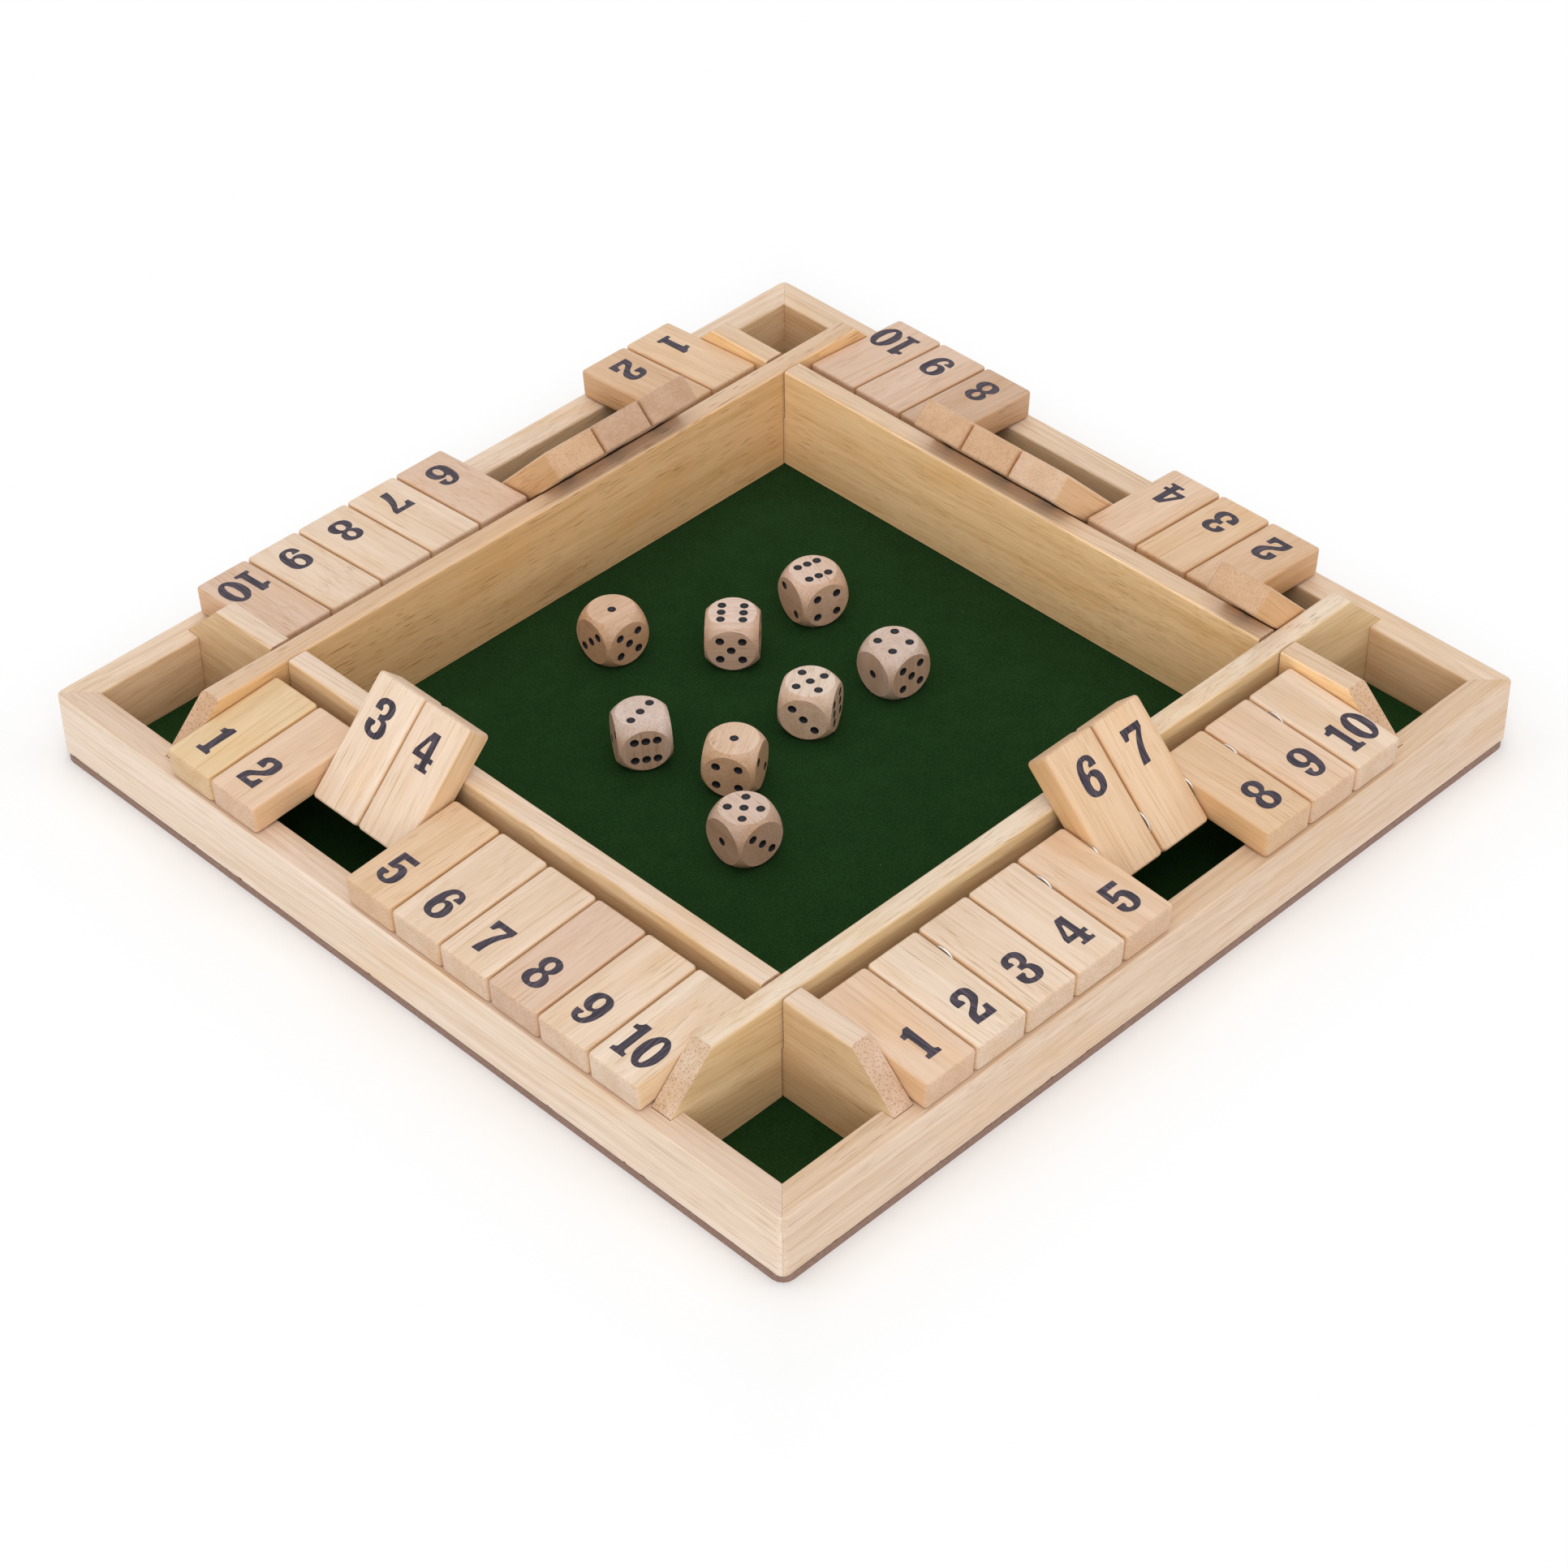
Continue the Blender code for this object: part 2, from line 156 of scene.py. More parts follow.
# %% [markdown]
# ## The studio light
# The box stands in soft light from above, inside a bright tent whose lower walls glow most. That low band of
# light is why the outer rails and the tray's walls are nearly as bright as the tops, while the dice, deep in
# the tray, have dark sides. A soft patch behind the camera lifts the faces that look towards it. All this is
# the world's strength, worked out from a ray's direction. To the camera and in reflections the world is plain
# white instead, so the white background needs no extra light on the box.

# %% World
WORLD_LIGHT = 0.365
# The band's brightness, and the sines of the elevations where it rises and fades
BAND_LIGHT = 2.6
BAND_LOW, BAND_HIGH = (0.06, 0.10), (0.19, 0.25)
# The patch behind the camera: its brightness, its elevation, and the cosines between which it fades
FRONT_LIGHT, FRONT_ELEVATION = 1.2, radians(34)
FRONT_EDGE, FRONT_FULL = 0.80, 0.96
WHITE = (1, 1, 1, 1)


def seen_directly(tree):
    """1 for a ray from the camera, or sent on by a glossy or clear surface, and 0 for light on a dull one."""
    rays = node(tree, "LightPath")
    seen = math(tree, "MAXIMUM", rays.outputs["Is Camera Ray"], rays.outputs["Is Transmission Ray"])
    return math(tree, "MAXIMUM", seen, rays.outputs["Is Glossy Ray"])


scene = bpy.context.scene
world = bpy.data.worlds.new("studio")
scene.world = world
world.use_nodes = True
tree = world.node_tree
gaze = node(tree, "TexCoord").outputs["Generated"]
rise = node(tree, "SeparateXYZ", {0: gaze}).outputs["Z"]
band = math(tree, "MULTIPLY", ramp(tree, rise, *BAND_LOW), ramp(tree, rise, *BAND_HIGH, 1.0, 0.0))
level = cos(FRONT_ELEVATION)
towards = (sin(AZIMUTH) * level, -cos(AZIMUTH) * level, sin(FRONT_ELEVATION))
nearness = node(tree, "VectorMath", {0: gaze, 1: towards}, operation="DOT_PRODUCT").outputs["Value"]
front = math(tree, "MULTIPLY", ramp(tree, nearness, FRONT_EDGE, FRONT_FULL), FRONT_LIGHT)
unseen = math(tree, "MULTIPLY_ADD", band, BAND_LIGHT, math(tree, "ADD", front, WORLD_LIGHT))
strength = node(tree, "Mix", {0: seen_directly(tree), 2: unseen, 3: 1.0}).outputs[0]
tree.links.new(strength, tree.nodes["Background"].inputs["Strength"])
tree.nodes["Background"].inputs["Color"].default_value = WHITE
print("world light", WORLD_LIGHT, "band", BAND_LIGHT, "front", FRONT_LIGHT)

# %% [markdown]
# ## The table
# The table is white in the picture. Near the box it is a real surface, which takes the shadow and throws
# light back on the outer faces of the rails. Further out it fades to plain white for the camera and for
# reflections. The fade follows the square of the box, so it is as wide beside each rail.

# %% Floor
FLOOR_RADIUS, FLOOR_WHITE = 4.0, 0.76
# How far from the middle, square to the rails, the fade begins, and where it is white
FLOOR_NEAR, FLOOR_FAR = 0.149, 0.195

shape = bmesh.new()
bmesh.ops.create_circle(shape, cap_ends=True, segments=64, radius=FLOOR_RADIUS)
floor_mesh = bpy.data.meshes.new("floor")
shape.to_mesh(floor_mesh)
shape.free()
floor = bpy.data.objects.new("floor", floor_mesh)
scene.collection.objects.link(floor)
material, tree, shader = new_material("floor_white", Roughness=1.0, Specular_IOR_Level=0.0)
seen = seen_directly(tree)
grey = (FLOOR_WHITE, FLOOR_WHITE, FLOOR_WHITE, 1)
tree.links.new(mix(tree, seen, grey, WHITE), shader.inputs["Base Color"])
place = node(tree, "TexCoord").outputs["Object"]
place = node(tree, "VectorMath", {0: place}, operation="ABSOLUTE").outputs[0]
place = node(tree, "SeparateXYZ", {0: place})
away = math(tree, "MAXIMUM", place.outputs["X"], place.outputs["Y"])
faded = math(tree, "MULTIPLY", ramp(tree, away, FLOOR_NEAR, FLOOR_FAR), seen)
glow = node(tree, "Emission", {"Color": WHITE, "Strength": 1.0}).outputs[0]
blend = node(tree, "MixShader", {0: faded, 1: shader.outputs[0], 2: glow})
tree.links.new(blend.outputs[0], tree.nodes["Material Output"].inputs["Surface"])
floor_mesh.materials.append(material)
print("floor", FLOOR_RADIUS, "m wide to each side")

# %% [markdown]
# One wide square lamp hangs over the box. It is large for its height, so the shadows under the tiles and
# around the dice stay soft.

# %% Lamp
LAMP_SIZE, LAMP_HEIGHT, LAMP_POWER = 2.4, 1.9, 19.4

lamp = bpy.data.objects.new("overhead", bpy.data.lights.new("overhead", "AREA"))
lamp.data.shape = "SQUARE"
lamp.data.size = LAMP_SIZE
lamp.data.energy = LAMP_POWER
lamp.location = (0, 0, LAMP_HEIGHT)
scene.collection.objects.link(lamp)
print("lamp", LAMP_SIZE, "m across, at", LAMP_HEIGHT, "m")

# %% [markdown]
# ## Pale wood
# Rubberwood and birch look like this: cream to pinkish tan, with soft bands along the grain, very fine
# fibres, and thin dark dashes where a cut opens the pores. One solid pattern serves every wooden piece.
# It is worked out in three dimensions from a position that each mesh carries as "grain", with x along the
# fibres. The piece's own base colour comes as "tint", and the tint's alpha says how far a face is cut across
# the fibres: there the dashes give way to the round ends of the pores. The layers go on one after another,
# each darkening the one below: bands, streaks, warm patches, fibres, hairs, then pores. The left crossing
# board is cut from wood with more open pores than the rest, and the rails' lower edges are a little chipped.

# %% Wood material
# How far the fibres wander aside, and how fast along and across them
WANDER, WANDER_SCALE = 6 * MM, (9, 45, 45)
TUBES_PER_METRE = 980.0
# The torn edge of a chip reaches from a little below the rail's lower edge to a little above it
CHIP_LOW, CHIP_HIGH = -0.2 * MM, 0.9 * MM


def wood(name, pore_size, pore_depth, dot_depth, streak_depth=0.05, roughness=0.45, chipped=None):
    """Wood with pores of one length and width. The depths say how dark the pores, their cut ends and the
    streaks are. A chipped edge is given by its height."""
    pore_length, pore_width = pore_size
    material, tree, shader = new_material(name, Roughness=roughness, IOR=1.45)
    grain = node(tree, "Attribute", attribute_name="grain").outputs["Vector"]
    own = node(tree, "Attribute", attribute_name="tint")
    tint, end_cut = own.outputs["Color"], own.outputs["Alpha"]
    slow = node(tree, "VectorMath", {0: grain, 1: WANDER_SCALE}, operation="MULTIPLY").outputs[0]
    drift = node(tree, "TexNoise", {"Vector": slow, "Scale": 1.0, "Detail": 2.0}).outputs["Color"]
    shift = node(tree, "VectorMath", {0: drift, 1: (0, WANDER, WANDER)}, operation="MULTIPLY").outputs[0]
    bent = node(tree, "VectorMath", {0: grain, 1: shift}, operation="ADD").outputs[0]

    def stretched(along, aside):
        """The position, scaled to so many cells to the metre along the fibres and aside from them."""
        return node(tree, "VectorMath", {0: bent, 1: (along, aside, aside)}, operation="MULTIPLY").outputs[0]

    def noise(along, aside, detail, rough=0.5):
        inputs = {"Vector": stretched(along, aside), "Scale": 1.0, "Detail": detail, "Roughness": rough}
        return node(tree, "TexNoise", inputs).outputs["Fac"]

    def dashes(length, width, share):
        """Spindles along the grain, each a cell of its own. Fewer and fainter ones come with a low share."""
        inputs = {"Vector": stretched(1 / length, 1 / width), "Scale": 1.0, "Randomness": 1.0}
        cells = node(tree, "TexVoronoi", inputs)
        chance = node(tree, "SeparateColor", {0: cells.outputs["Color"]}).outputs[0]
        weight = ramp(tree, chance, 1 - share, 1 - share / 3, 0.0, 1.0)
        return math(tree, "MULTIPLY", ramp(tree, cells.outputs["Distance"], 0.10, 0.30, 1.0, 0.0), weight)

    def shaded(base, factor, red, green, blue):
        """The base darkened towards a share of each of its channels."""
        dark = mix(tree, 1.0, base, (red, green, blue, 1.0), "MULTIPLY")
        return mix(tree, factor, base, dark)

    bands = ramp(tree, noise(4, 170, 3), 0.32, 0.68)
    streaks = ramp(tree, noise(11, 700, 3, 0.65), 0.38, 0.68)
    fibres = ramp(tree, noise(110, 3200, 2), 0.25, 0.75)
    warm = ramp(tree, noise(22, 75, 2), 0.52, 0.74)
    fine = dashes(pore_length, pore_width, 0.8)
    long = dashes(pore_length * 2.6, pore_width * 1.15, 0.35)
    hairs = ramp(tree, noise(9, 1500, 1), 0.55, 0.75)
    patches = ramp(tree, noise(7, 60, 1), 0.38, 0.62, 0.4, 1.0)
    long_grain = math(tree, "SUBTRACT", 1.0, end_cut)
    parts = node(tree, "SeparateXYZ", {0: bent})
    cross_cut = node(tree, "CombineXYZ", {0: parts.outputs["Y"], 1: parts.outputs["Z"]}).outputs[0]
    tubes = node(tree, "TexVoronoi", {"Vector": cross_cut, "Scale": TUBES_PER_METRE}, voronoi_dimensions="2D")
    round_ends = ramp(tree, tubes.outputs["Distance"], 0.09, 0.20, 1.0, 0.0)
    dots = math(tree, "MULTIPLY", round_ends, math(tree, "MULTIPLY", end_cut, dot_depth))
    # The layers only darken, so the tint is lifted first
    pale = 1.065 + streak_depth
    shown = mix(tree, 1.0, tint, (pale, pale, pale, 1.0), "MULTIPLY")
    shown = shaded(shown, bands, 0.92, 0.88, 0.82)
    shown = shaded(shown, streaks, 1 - streak_depth, 1 - 1.5 * streak_depth, 1 - 2.2 * streak_depth)
    shown = shaded(shown, warm, 0.985, 0.92, 0.82)
    shown = shaded(shown, fibres, 0.94, 0.93, 0.91)
    shown = shaded(shown, math(tree, "MULTIPLY", hairs, long_grain), 0.90, 0.83, 0.73)
    pores = math(tree, "MULTIPLY", math(tree, "MULTIPLY", long_grain, patches), pore_depth)
    shown = shaded(shown, math(tree, "MULTIPLY", fine, pores), 0.48, 0.34, 0.24)
    shown = shaded(shown, math(tree, "MULTIPLY", long, pores), 0.42, 0.29, 0.20)
    shown = shaded(shown, dots, 0.42, 0.31, 0.24)
    if chipped is not None:
        level = node(tree, "SeparateXYZ", {0: node(tree, "TexCoord").outputs["Object"]}).outputs["Z"]
        torn = ramp(tree, noise(240, 420, 4, 0.7), 0.50, 0.80, chipped + CHIP_LOW, chipped + CHIP_HIGH)
        shown = shaded(shown, math(tree, "LESS_THAN", level, torn), 0.30, 0.21, 0.16)
    tree.links.new(shown, shader.inputs["Base Color"])
    height = math(tree, "SUBTRACT", fibres, math(tree, "ADD", fine, long))
    bump = node(tree, "Bump", {"Strength": 0.2, "Distance": 0.03 * MM, "Height": height})
    tree.links.new(bump.outputs[0], shader.inputs["Normal"])
    return material


CHIPPED_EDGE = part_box("rails_front_right")[0].z
TILE_WOOD = wood("tile_wood", (14 * MM, 0.38 * MM), 0.75, 0.45)
BOARD_WOOD = wood("board_wood", (16 * MM, 0.5 * MM), 0.6, 0.75, 0.09, 0.42)
OPEN_WOOD = wood("open_wood", (10 * MM, 0.62 * MM), 1.0, 0.75, 0.07, 0.42)
RAIL_WOOD = wood("rail_wood", (14 * MM, 0.44 * MM), 0.6, 0.3, 0.09, chipped=CHIPPED_EDGE)
DIE_WOOD = wood("die_wood", (6 * MM, 0.34 * MM), 0.9, 0.45, 0.08, 0.4)
print("wood materials", [m.name for m in (TILE_WOOD, BOARD_WOOD, OPEN_WOOD, RAIL_WOOD, DIE_WOOD)])

# %% [markdown]
# ## Ink and paint
# The numbers are printed in blue-black ink that has sunk into the wood a little, so the fibres show through
# as faint lighter streaks. The dice have black paint in their drilled pips.

# %% Ink and paint
INK, tree, shader = new_material("ink", Roughness=0.55, Specular_IOR_Level=0.3)
grain = node(tree, "Attribute", attribute_name="grain").outputs["Vector"]
scaled = node(tree, "VectorMath", {0: grain, 1: (160, 2200, 2200)}, operation="MULTIPLY").outputs[0]
streak = node(tree, "TexNoise", {"Vector": scaled, "Scale": 1.0, "Detail": 2.0}).outputs["Fac"]
worn = ramp(tree, streak, 0.38, 0.72)
tree.links.new(mix(tree, worn, colour(44, 37, 48), colour(88, 76, 86)), shader.inputs["Base Color"])

PAINT, tree, shader = new_material("pip_paint", Roughness=0.5, Specular_IOR_Level=0.3)
place = node(tree, "TexCoord").outputs["Object"]
fleck = node(tree, "TexNoise", {"Vector": place, "Scale": 1500.0, "Detail": 2.0}).outputs["Fac"]
tree.links.new(mix(tree, fleck, colour(17, 16, 21), colour(34, 32, 40)), shader.inputs["Base Color"])
print("ink and paint ready")

# %% [markdown]
# ## Felt
# The tray is lined with one sheet of deep green felt. It is matt, with a trace of sheen, slightly mottled,
# and has a few specks of pale lint. Two noises make the mottle: a wide one for wear, and a fine one for the
# nap, which also gives the bump. The lint is the middle of a few widely spaced cells.

# %% Felt
FELT, tree, shader = new_material("felt", Roughness=0.95, Specular_IOR_Level=0.05)
shader.inputs["Sheen Weight"].default_value = 0.03
shader.inputs["Sheen Roughness"].default_value = 0.5
place = node(tree, "TexCoord").outputs["Object"]
soft = node(tree, "TexNoise", {"Vector": place, "Scale": 110.0, "Detail": 5.0, "Roughness": 0.65})
fine = node(tree, "TexNoise", {"Vector": place, "Scale": 2200.0, "Detail": 3.0, "Roughness": 0.7})
nap = math(tree, "MULTIPLY", fine.outputs["Fac"], 0.82)
mottle = math(tree, "MULTIPLY_ADD", soft.outputs["Fac"], 0.18, nap)
green = mix(tree, ramp(tree, mottle, 0.35, 0.65), colour(17, 44, 15), colour(35, 66, 31))
lint = node(tree, "TexVoronoi", {"Vector": place, "Scale": 70.0, "Randomness": 1.0}).outputs["Distance"]
green = mix(tree, ramp(tree, lint, 0.010, 0.018, 0.7, 0.0), green, colour(92, 112, 84))
tree.links.new(green, shader.inputs["Base Color"])
bump = node(tree, "Bump", {"Strength": 0.6, "Distance": 0.2 * MM, "Height": fine.outputs["Fac"]})
tree.links.new(bump.outputs[0], shader.inputs["Normal"])
print("felt ready")

# %% [markdown]
# ## Hardboard and steel
# Thin brown hardboard closes the bottom, and only its edge shows, as short mixed fibres. The rods and washers
# are bright steel, a little uneven in tone and in polish.

# %% Hardboard
HARDBOARD, tree, shader = new_material("hardboard", Roughness=0.7)
place = node(tree, "TexCoord").outputs["Object"]
chips = node(tree, "TexNoise", {"Vector": place, "Scale": 900.0, "Detail": 5.0, "Roughness": 0.7})
chips = ramp(tree, chips.outputs["Fac"], 0.3, 0.7)
brown = mix(tree, chips, colour(131, 103, 89), colour(152, 122, 107))
tree.links.new(brown, shader.inputs["Base Color"])
print("hardboard ready")

# %% Steel
STEEL, tree, shader = new_material("steel", Metallic=1.0, Roughness=0.25)
place = node(tree, "TexCoord").outputs["Object"]
turning = node(tree, "TexNoise", {"Vector": place, "Scale": 1800.0, "Detail": 2.0}).outputs["Fac"]
tree.links.new(mix(tree, turning, colour(222, 222, 224), colour(240, 240, 241)), shader.inputs["Base Color"])
tree.links.new(ramp(tree, turning, 0.3, 0.7, 0.2, 0.34), shader.inputs["Roughness"])
print("steel ready")

# %% [markdown]
# ## Mesh helpers
# Every new piece is one plain mesh at the origin with its place in the vertices. These helpers bake an object
# with its modifiers, run a Boolean, round edges, saw a piece off along a plane and give it one material.


# %% Mesh helpers
def mesh_from(shape, name):
    mesh = bpy.data.meshes.new(name)
    shape.to_mesh(mesh)
    shape.free()
    return mesh


def add_object(name, mesh):
    made = bpy.data.objects.new(name, mesh)
    scene.collection.objects.link(made)
    return made


def baked(obj):
    """The object's mesh with its modifiers applied. The object itself is removed."""
    bpy.context.view_layer.update()
    mesh = bpy.data.meshes.new_from_object(obj.evaluated_get(bpy.context.evaluated_depsgraph_get()))
    bpy.data.objects.remove(obj)
    return mesh


def combine(mesh, others, operation="DIFFERENCE"):
    """The mesh after a Boolean with each of the other meshes in turn. Materials come along."""
    base = add_object("base", mesh)
    cutters = [add_object("cutter", other) for other in others]
    for cutter in cutters:
        modifier = base.modifiers.new("cut", "BOOLEAN")
        modifier.operation = operation
        modifier.solver = "EXACT"
        modifier.material_mode = "TRANSFER"
        modifier.object = cutter
    made = baked(base)
    for cutter in cutters:
        bpy.data.objects.remove(cutter)
    return made


def add_box(shape, low, high):
    low, high = Vector(low), Vector(high)
    place = Matrix.Translation((low + high) / 2) @ Matrix.Diagonal((*(high - low), 1.0))
    return bmesh.ops.create_cube(shape, size=1.0, matrix=place)["verts"]


def box_mesh(boxes, material=None):
    shape = bmesh.new()
    for low, high in boxes:
        add_box(shape, low, high)
    mesh = mesh_from(shape, "box")
    if material:
        mesh.materials.append(material)
    return mesh


def runs_along(edge, direction):
    return (edge.verts[1].co - edge.verts[0].co).normalized().cross(Vector(direction)).length < 0.001


def round_edges(shape, edges, radius, segments):
    settings = {"segments": segments, "profile": 0.5, "affect": "EDGES", "clamp_overlap": True}
    bmesh.ops.bevel(shape, geom=edges, offset=radius, **settings)


def cut_off(shape, point, direction):
    """Takes away what lies past a plane, on the side that its direction points to, and closes the cut."""
    everything = shape.verts[:] + shape.edges[:] + shape.faces[:]
    plane = {"plane_co": point, "plane_no": direction, "clear_outer": True}
    cut = bmesh.ops.bisect_plane(shape, geom=everything, **plane)
    rim = [item for item in cut["geom_cut"] if isinstance(item, bmesh.types.BMEdge)]
    bmesh.ops.edgenet_fill(shape, edges=rim)


def add_cylinder(shape, radius, length, place, segments=24):
    size = {"radius1": radius, "radius2": radius, "depth": length}
    bmesh.ops.create_cone(shape, cap_ends=True, segments=segments, matrix=place, **size)


def set_material(mesh, material):
    mesh.materials.clear()
    mesh.materials.append(material)


print("mesh helpers ready")

# %% [markdown]
# ## Cutting each piece from its own wood
# The grain position is the piece's own coordinates before it is put in place, turned a few degrees off square
# and moved by a random step, so that no two pieces are cut from the same wood. The tint is written for each
# face. The sides get a painted warm shade, darker than the tops, and cut ends are darker end grain.

# %% Wood attributes
WOOD_STORE = np.random.default_rng(7)
# The painted warm shade: what the sides of a piece keep of its tint
PAINTED_SIDE_SHADE = (0.97, 0.88, 0.72)
# For each run of the fibres, which axes come first, second and third in the grain
GRAIN_ORDER = {"x": (0, 1, 2), "y": (1, 2, 0), "z": (2, 0, 1)}
LEAN = 2.0


def give_wood(mesh, tint, along="x", painted_warm_shade=PAINTED_SIDE_SHADE, top=(0, 0, 1), front_unshaded=False, **shades):
    """Writes the wood attributes from the mesh's present coordinates. Sides take a painted warm shade; with
    an unshaded front only the sides facing +Y take it. Ends can be given a darker end-grain tone, the inner
    face (+Y) a painted light, and the upper face (+Z) a painted shade."""
    points = np.zeros(len(mesh.vertices) * 3, np.float32)
    mesh.vertices.foreach_get("co", points)
    order = GRAIN_ORDER[along]
    off = [Matrix.Rotation(radians(WOOD_STORE.normal(0, LEAN)), 3, axis) for axis in "ZY"]
    turned = points.reshape(-1, 3)[:, order] @ np.array(off[0] @ off[1]).T + WOOD_STORE.uniform(1, 9, 3)
    grain = mesh.attributes.new("grain", "FLOAT_VECTOR", "POINT")
    grain.data.foreach_set("vector", turned.astype(np.float32).ravel())
    normals = np.zeros(len(mesh.polygons) * 3, np.float32)
    mesh.polygons.foreach_get("normal", normals)
    normals = normals.reshape(-1, 3)
    ends = np.clip((normals[:, order[0]] ** 2 - 0.1) / 0.3, 0, 1)
    side = np.clip(1 - (normals @ np.array(top)) ** 2 - ends, 0, 1)
    # With an unshaded front, only the sides facing +Y keep the painted warm shade
    if front_unshaded:
        side *= normals[:, 1] > 0
    # Factors on the tint: painted side shade, end-grain tone, painted light on the inner face, painted shade
    # on top
    shaded = [(side, painted_warm_shade), (ends, shades.get("ends", 1.0))]
    shaded.append((normals[:, 1] > 0.7, shades.get("inner", 1.0)))
    shaded.append((normals[:, 2] > 0.9, shades.get("upper", 1.0)))
    tones = np.array(tint[:3]) * np.ones((len(normals), 1))
    for faces, shade in shaded:
        tones *= 1 - faces[:, None] * (1 - np.array(shade))
    tints = mesh.attributes.new("tint", "FLOAT_COLOR", "FACE")
    tints.data.foreach_set("color", np.c_[tones, ends].astype(np.float32).ravel())


print("wood store open, side warmth", PAINTED_SIDE_SHADE)

# %% [markdown]
# ## Tying a piece to the frame
# A finished piece is shaded smooth up to its sharp edges, hides the CAD nodes it stands for, and rides on
# its body.


# %% Finish a piece
def finish_piece(name, mesh, body, replaces=(), crisp=35):
    """Shades the mesh, shows it under its name, and ties it to the frame."""
    mesh.shade_smooth()
    mesh.set_sharp_from_angle(angle=radians(crisp))
    mesh.name = name
    made = add_object(name, mesh)
    if replaces:
        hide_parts(*replaces)
    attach(made, body)
    return made


print("pieces can be finished")

# %% [markdown]
# ## Sizes taken from the frame
# The frame knows where everything is. The rails' outer face, the rods and the boards are read from it, and
# the rest follows from the sizes that such a box is made to.

# %% Sizes
RAIL_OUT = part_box("base_board")[1].x
RAIL_BOTTOM, RAIL_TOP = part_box("rails_front_right")[0].z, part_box("rails_front_right")[1].z
BOARD_BOTTOM, BOARD_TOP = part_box("board_left")[0].z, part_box("board_left")[1].z
BOARD_OUT, TRAY_HALF = -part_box("board_front")[0].y, -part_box("board_front")[1].y
FELT_BOTTOM, FELT_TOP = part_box("felt_lining")[0].z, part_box("felt_lining")[1].z
FELT_HALF, FELT_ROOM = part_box("felt_lining")[1].x, 0.3 * MM
RAIL_IN = FELT_HALF + FELT_ROOM
NUMBERS = range(1, 11)
TILE_PITCH = 2 * TRAY_HALF / len(NUMBERS)
FLIPS = {joint["child"]: joint for joint in frame["joints"] if joint["type"] == "hinge"}
ROD_OUT, ROD_LEVEL = -FLIPS["tile_front_01"]["pos_m"][1], FLIPS["tile_front_01"]["pos_m"][2]
SIDES = {"front": 0, "right": 90, "back": 180, "left": 270}
OVER = ("left", "right")
TURNS = {name: Matrix.Rotation(radians(turn), 4, "Z") for name, turn in SIDES.items()}
# A cutter that goes right through a piece is this high and low, and reaches this far past its faces
BELOW, ABOVE, PAST = -10 * MM, 100 * MM, 2 * MM
print("rail out", round(RAIL_OUT, 5), "in", round(RAIL_IN, 5), "rod", round(ROD_OUT, 5), round(ROD_LEVEL, 5))

# %% [markdown]
# ## The four rails
# Four square strips are mitred and glued at the corners, and then the whole frame's edges are eased. So a
# ring is made first, its rims are rounded, and it is parted on the diagonals, which leaves a hairline at each
# mitre. Each inner face has notches where the crossing boards end. The grain then runs along each rail. The
# inner faces carry a painted warm shade, and the upper faces of the two rails nearest the camera a painted
# shade.

# %% Rails
CORNER_RADIUS, RIM_RADIUS = 2.5 * MM, 0.9 * MM
HAIRLINE = 0.03 * MM
NOTCH_DEPTH, NOTCH_ROOM = 4.8 * MM, 0.15 * MM
RAIL_TINT = {
    "front": (229, 211, 194),
    "right": (220, 198, 178),
    "back": (226, 204, 182),
    "left": (229, 208, 188),
}
# Painted shade on each rail's upper face: the two nearest the camera are darker on top than on their outer
# face
RAIL_PAINTED_TOP_SHADE = {"front": (0.91, 0.85, 0.82), "right": (0.96, 0.92, 0.86), "back": 1.0, "left": 1.0}

shape = bmesh.new()
add_box(shape, (-RAIL_OUT, -RAIL_OUT, RAIL_BOTTOM), (RAIL_OUT, RAIL_OUT, RAIL_TOP))
round_edges(shape, [edge for edge in shape.edges if runs_along(edge, (0, 0, 1))], CORNER_RADIUS, 8)
opening = box_mesh([((-RAIL_IN, -RAIL_IN, BELOW), (RAIL_IN, RAIL_IN, ABOVE))])
ring = bmesh.new()
ring.from_mesh(combine(mesh_from(shape, "ring"), [opening]))
rims = [edge for edge in ring.edges if edge.calc_face_angle() > 1 and not runs_along(edge, (0, 0, 1))]
middle_level = (RAIL_BOTTOM + RAIL_TOP) / 2
round_edges(ring, [edge for edge in rims if edge.verts[0].co.z > middle_level], RIM_RADIUS, 4)
RING = mesh_from(ring, "ring")

NOTCH_HALF = (BOARD_OUT - TRAY_HALF) / 2 + NOTCH_ROOM
BOARD_MIDDLE = (BOARD_OUT + TRAY_HALF) / 2
notches = []
for aside in (-BOARD_MIDDLE, BOARD_MIDDLE):
    low = (aside - NOTCH_HALF, -RAIL_IN - NOTCH_DEPTH, BELOW)
    notches.append((low, (aside + NOTCH_HALF, -RAIL_IN + PAST, ABOVE)))
for side, turn in TURNS.items():
    shape = bmesh.new()
    shape.from_mesh(RING)
    bmesh.ops.transform(shape, matrix=turn.inverted(), verts=shape.verts)
    for sign in (-1, 1):
        cut_off(shape, (0, -HAIRLINE, 0), (sign, 1, 0))
    bmesh.ops.recalc_face_normals(shape, faces=shape.faces[:])
    mesh = combine(mesh_from(shape, "rail"), [box_mesh(notches)])
    set_material(mesh, RAIL_WOOD)
    # Painted warm shade on the inner faces, none on the outer face, and painted shade on top
    give_wood(mesh, colour(*RAIL_TINT[side]), front_unshaded=True, upper=RAIL_PAINTED_TOP_SHADE[side])
    mesh.transform(turn)
    half = "rails_front_right" if side in ("front", "right") else "rails_back_left"
    finish_piece("rail_" + side, mesh, "box", [half])
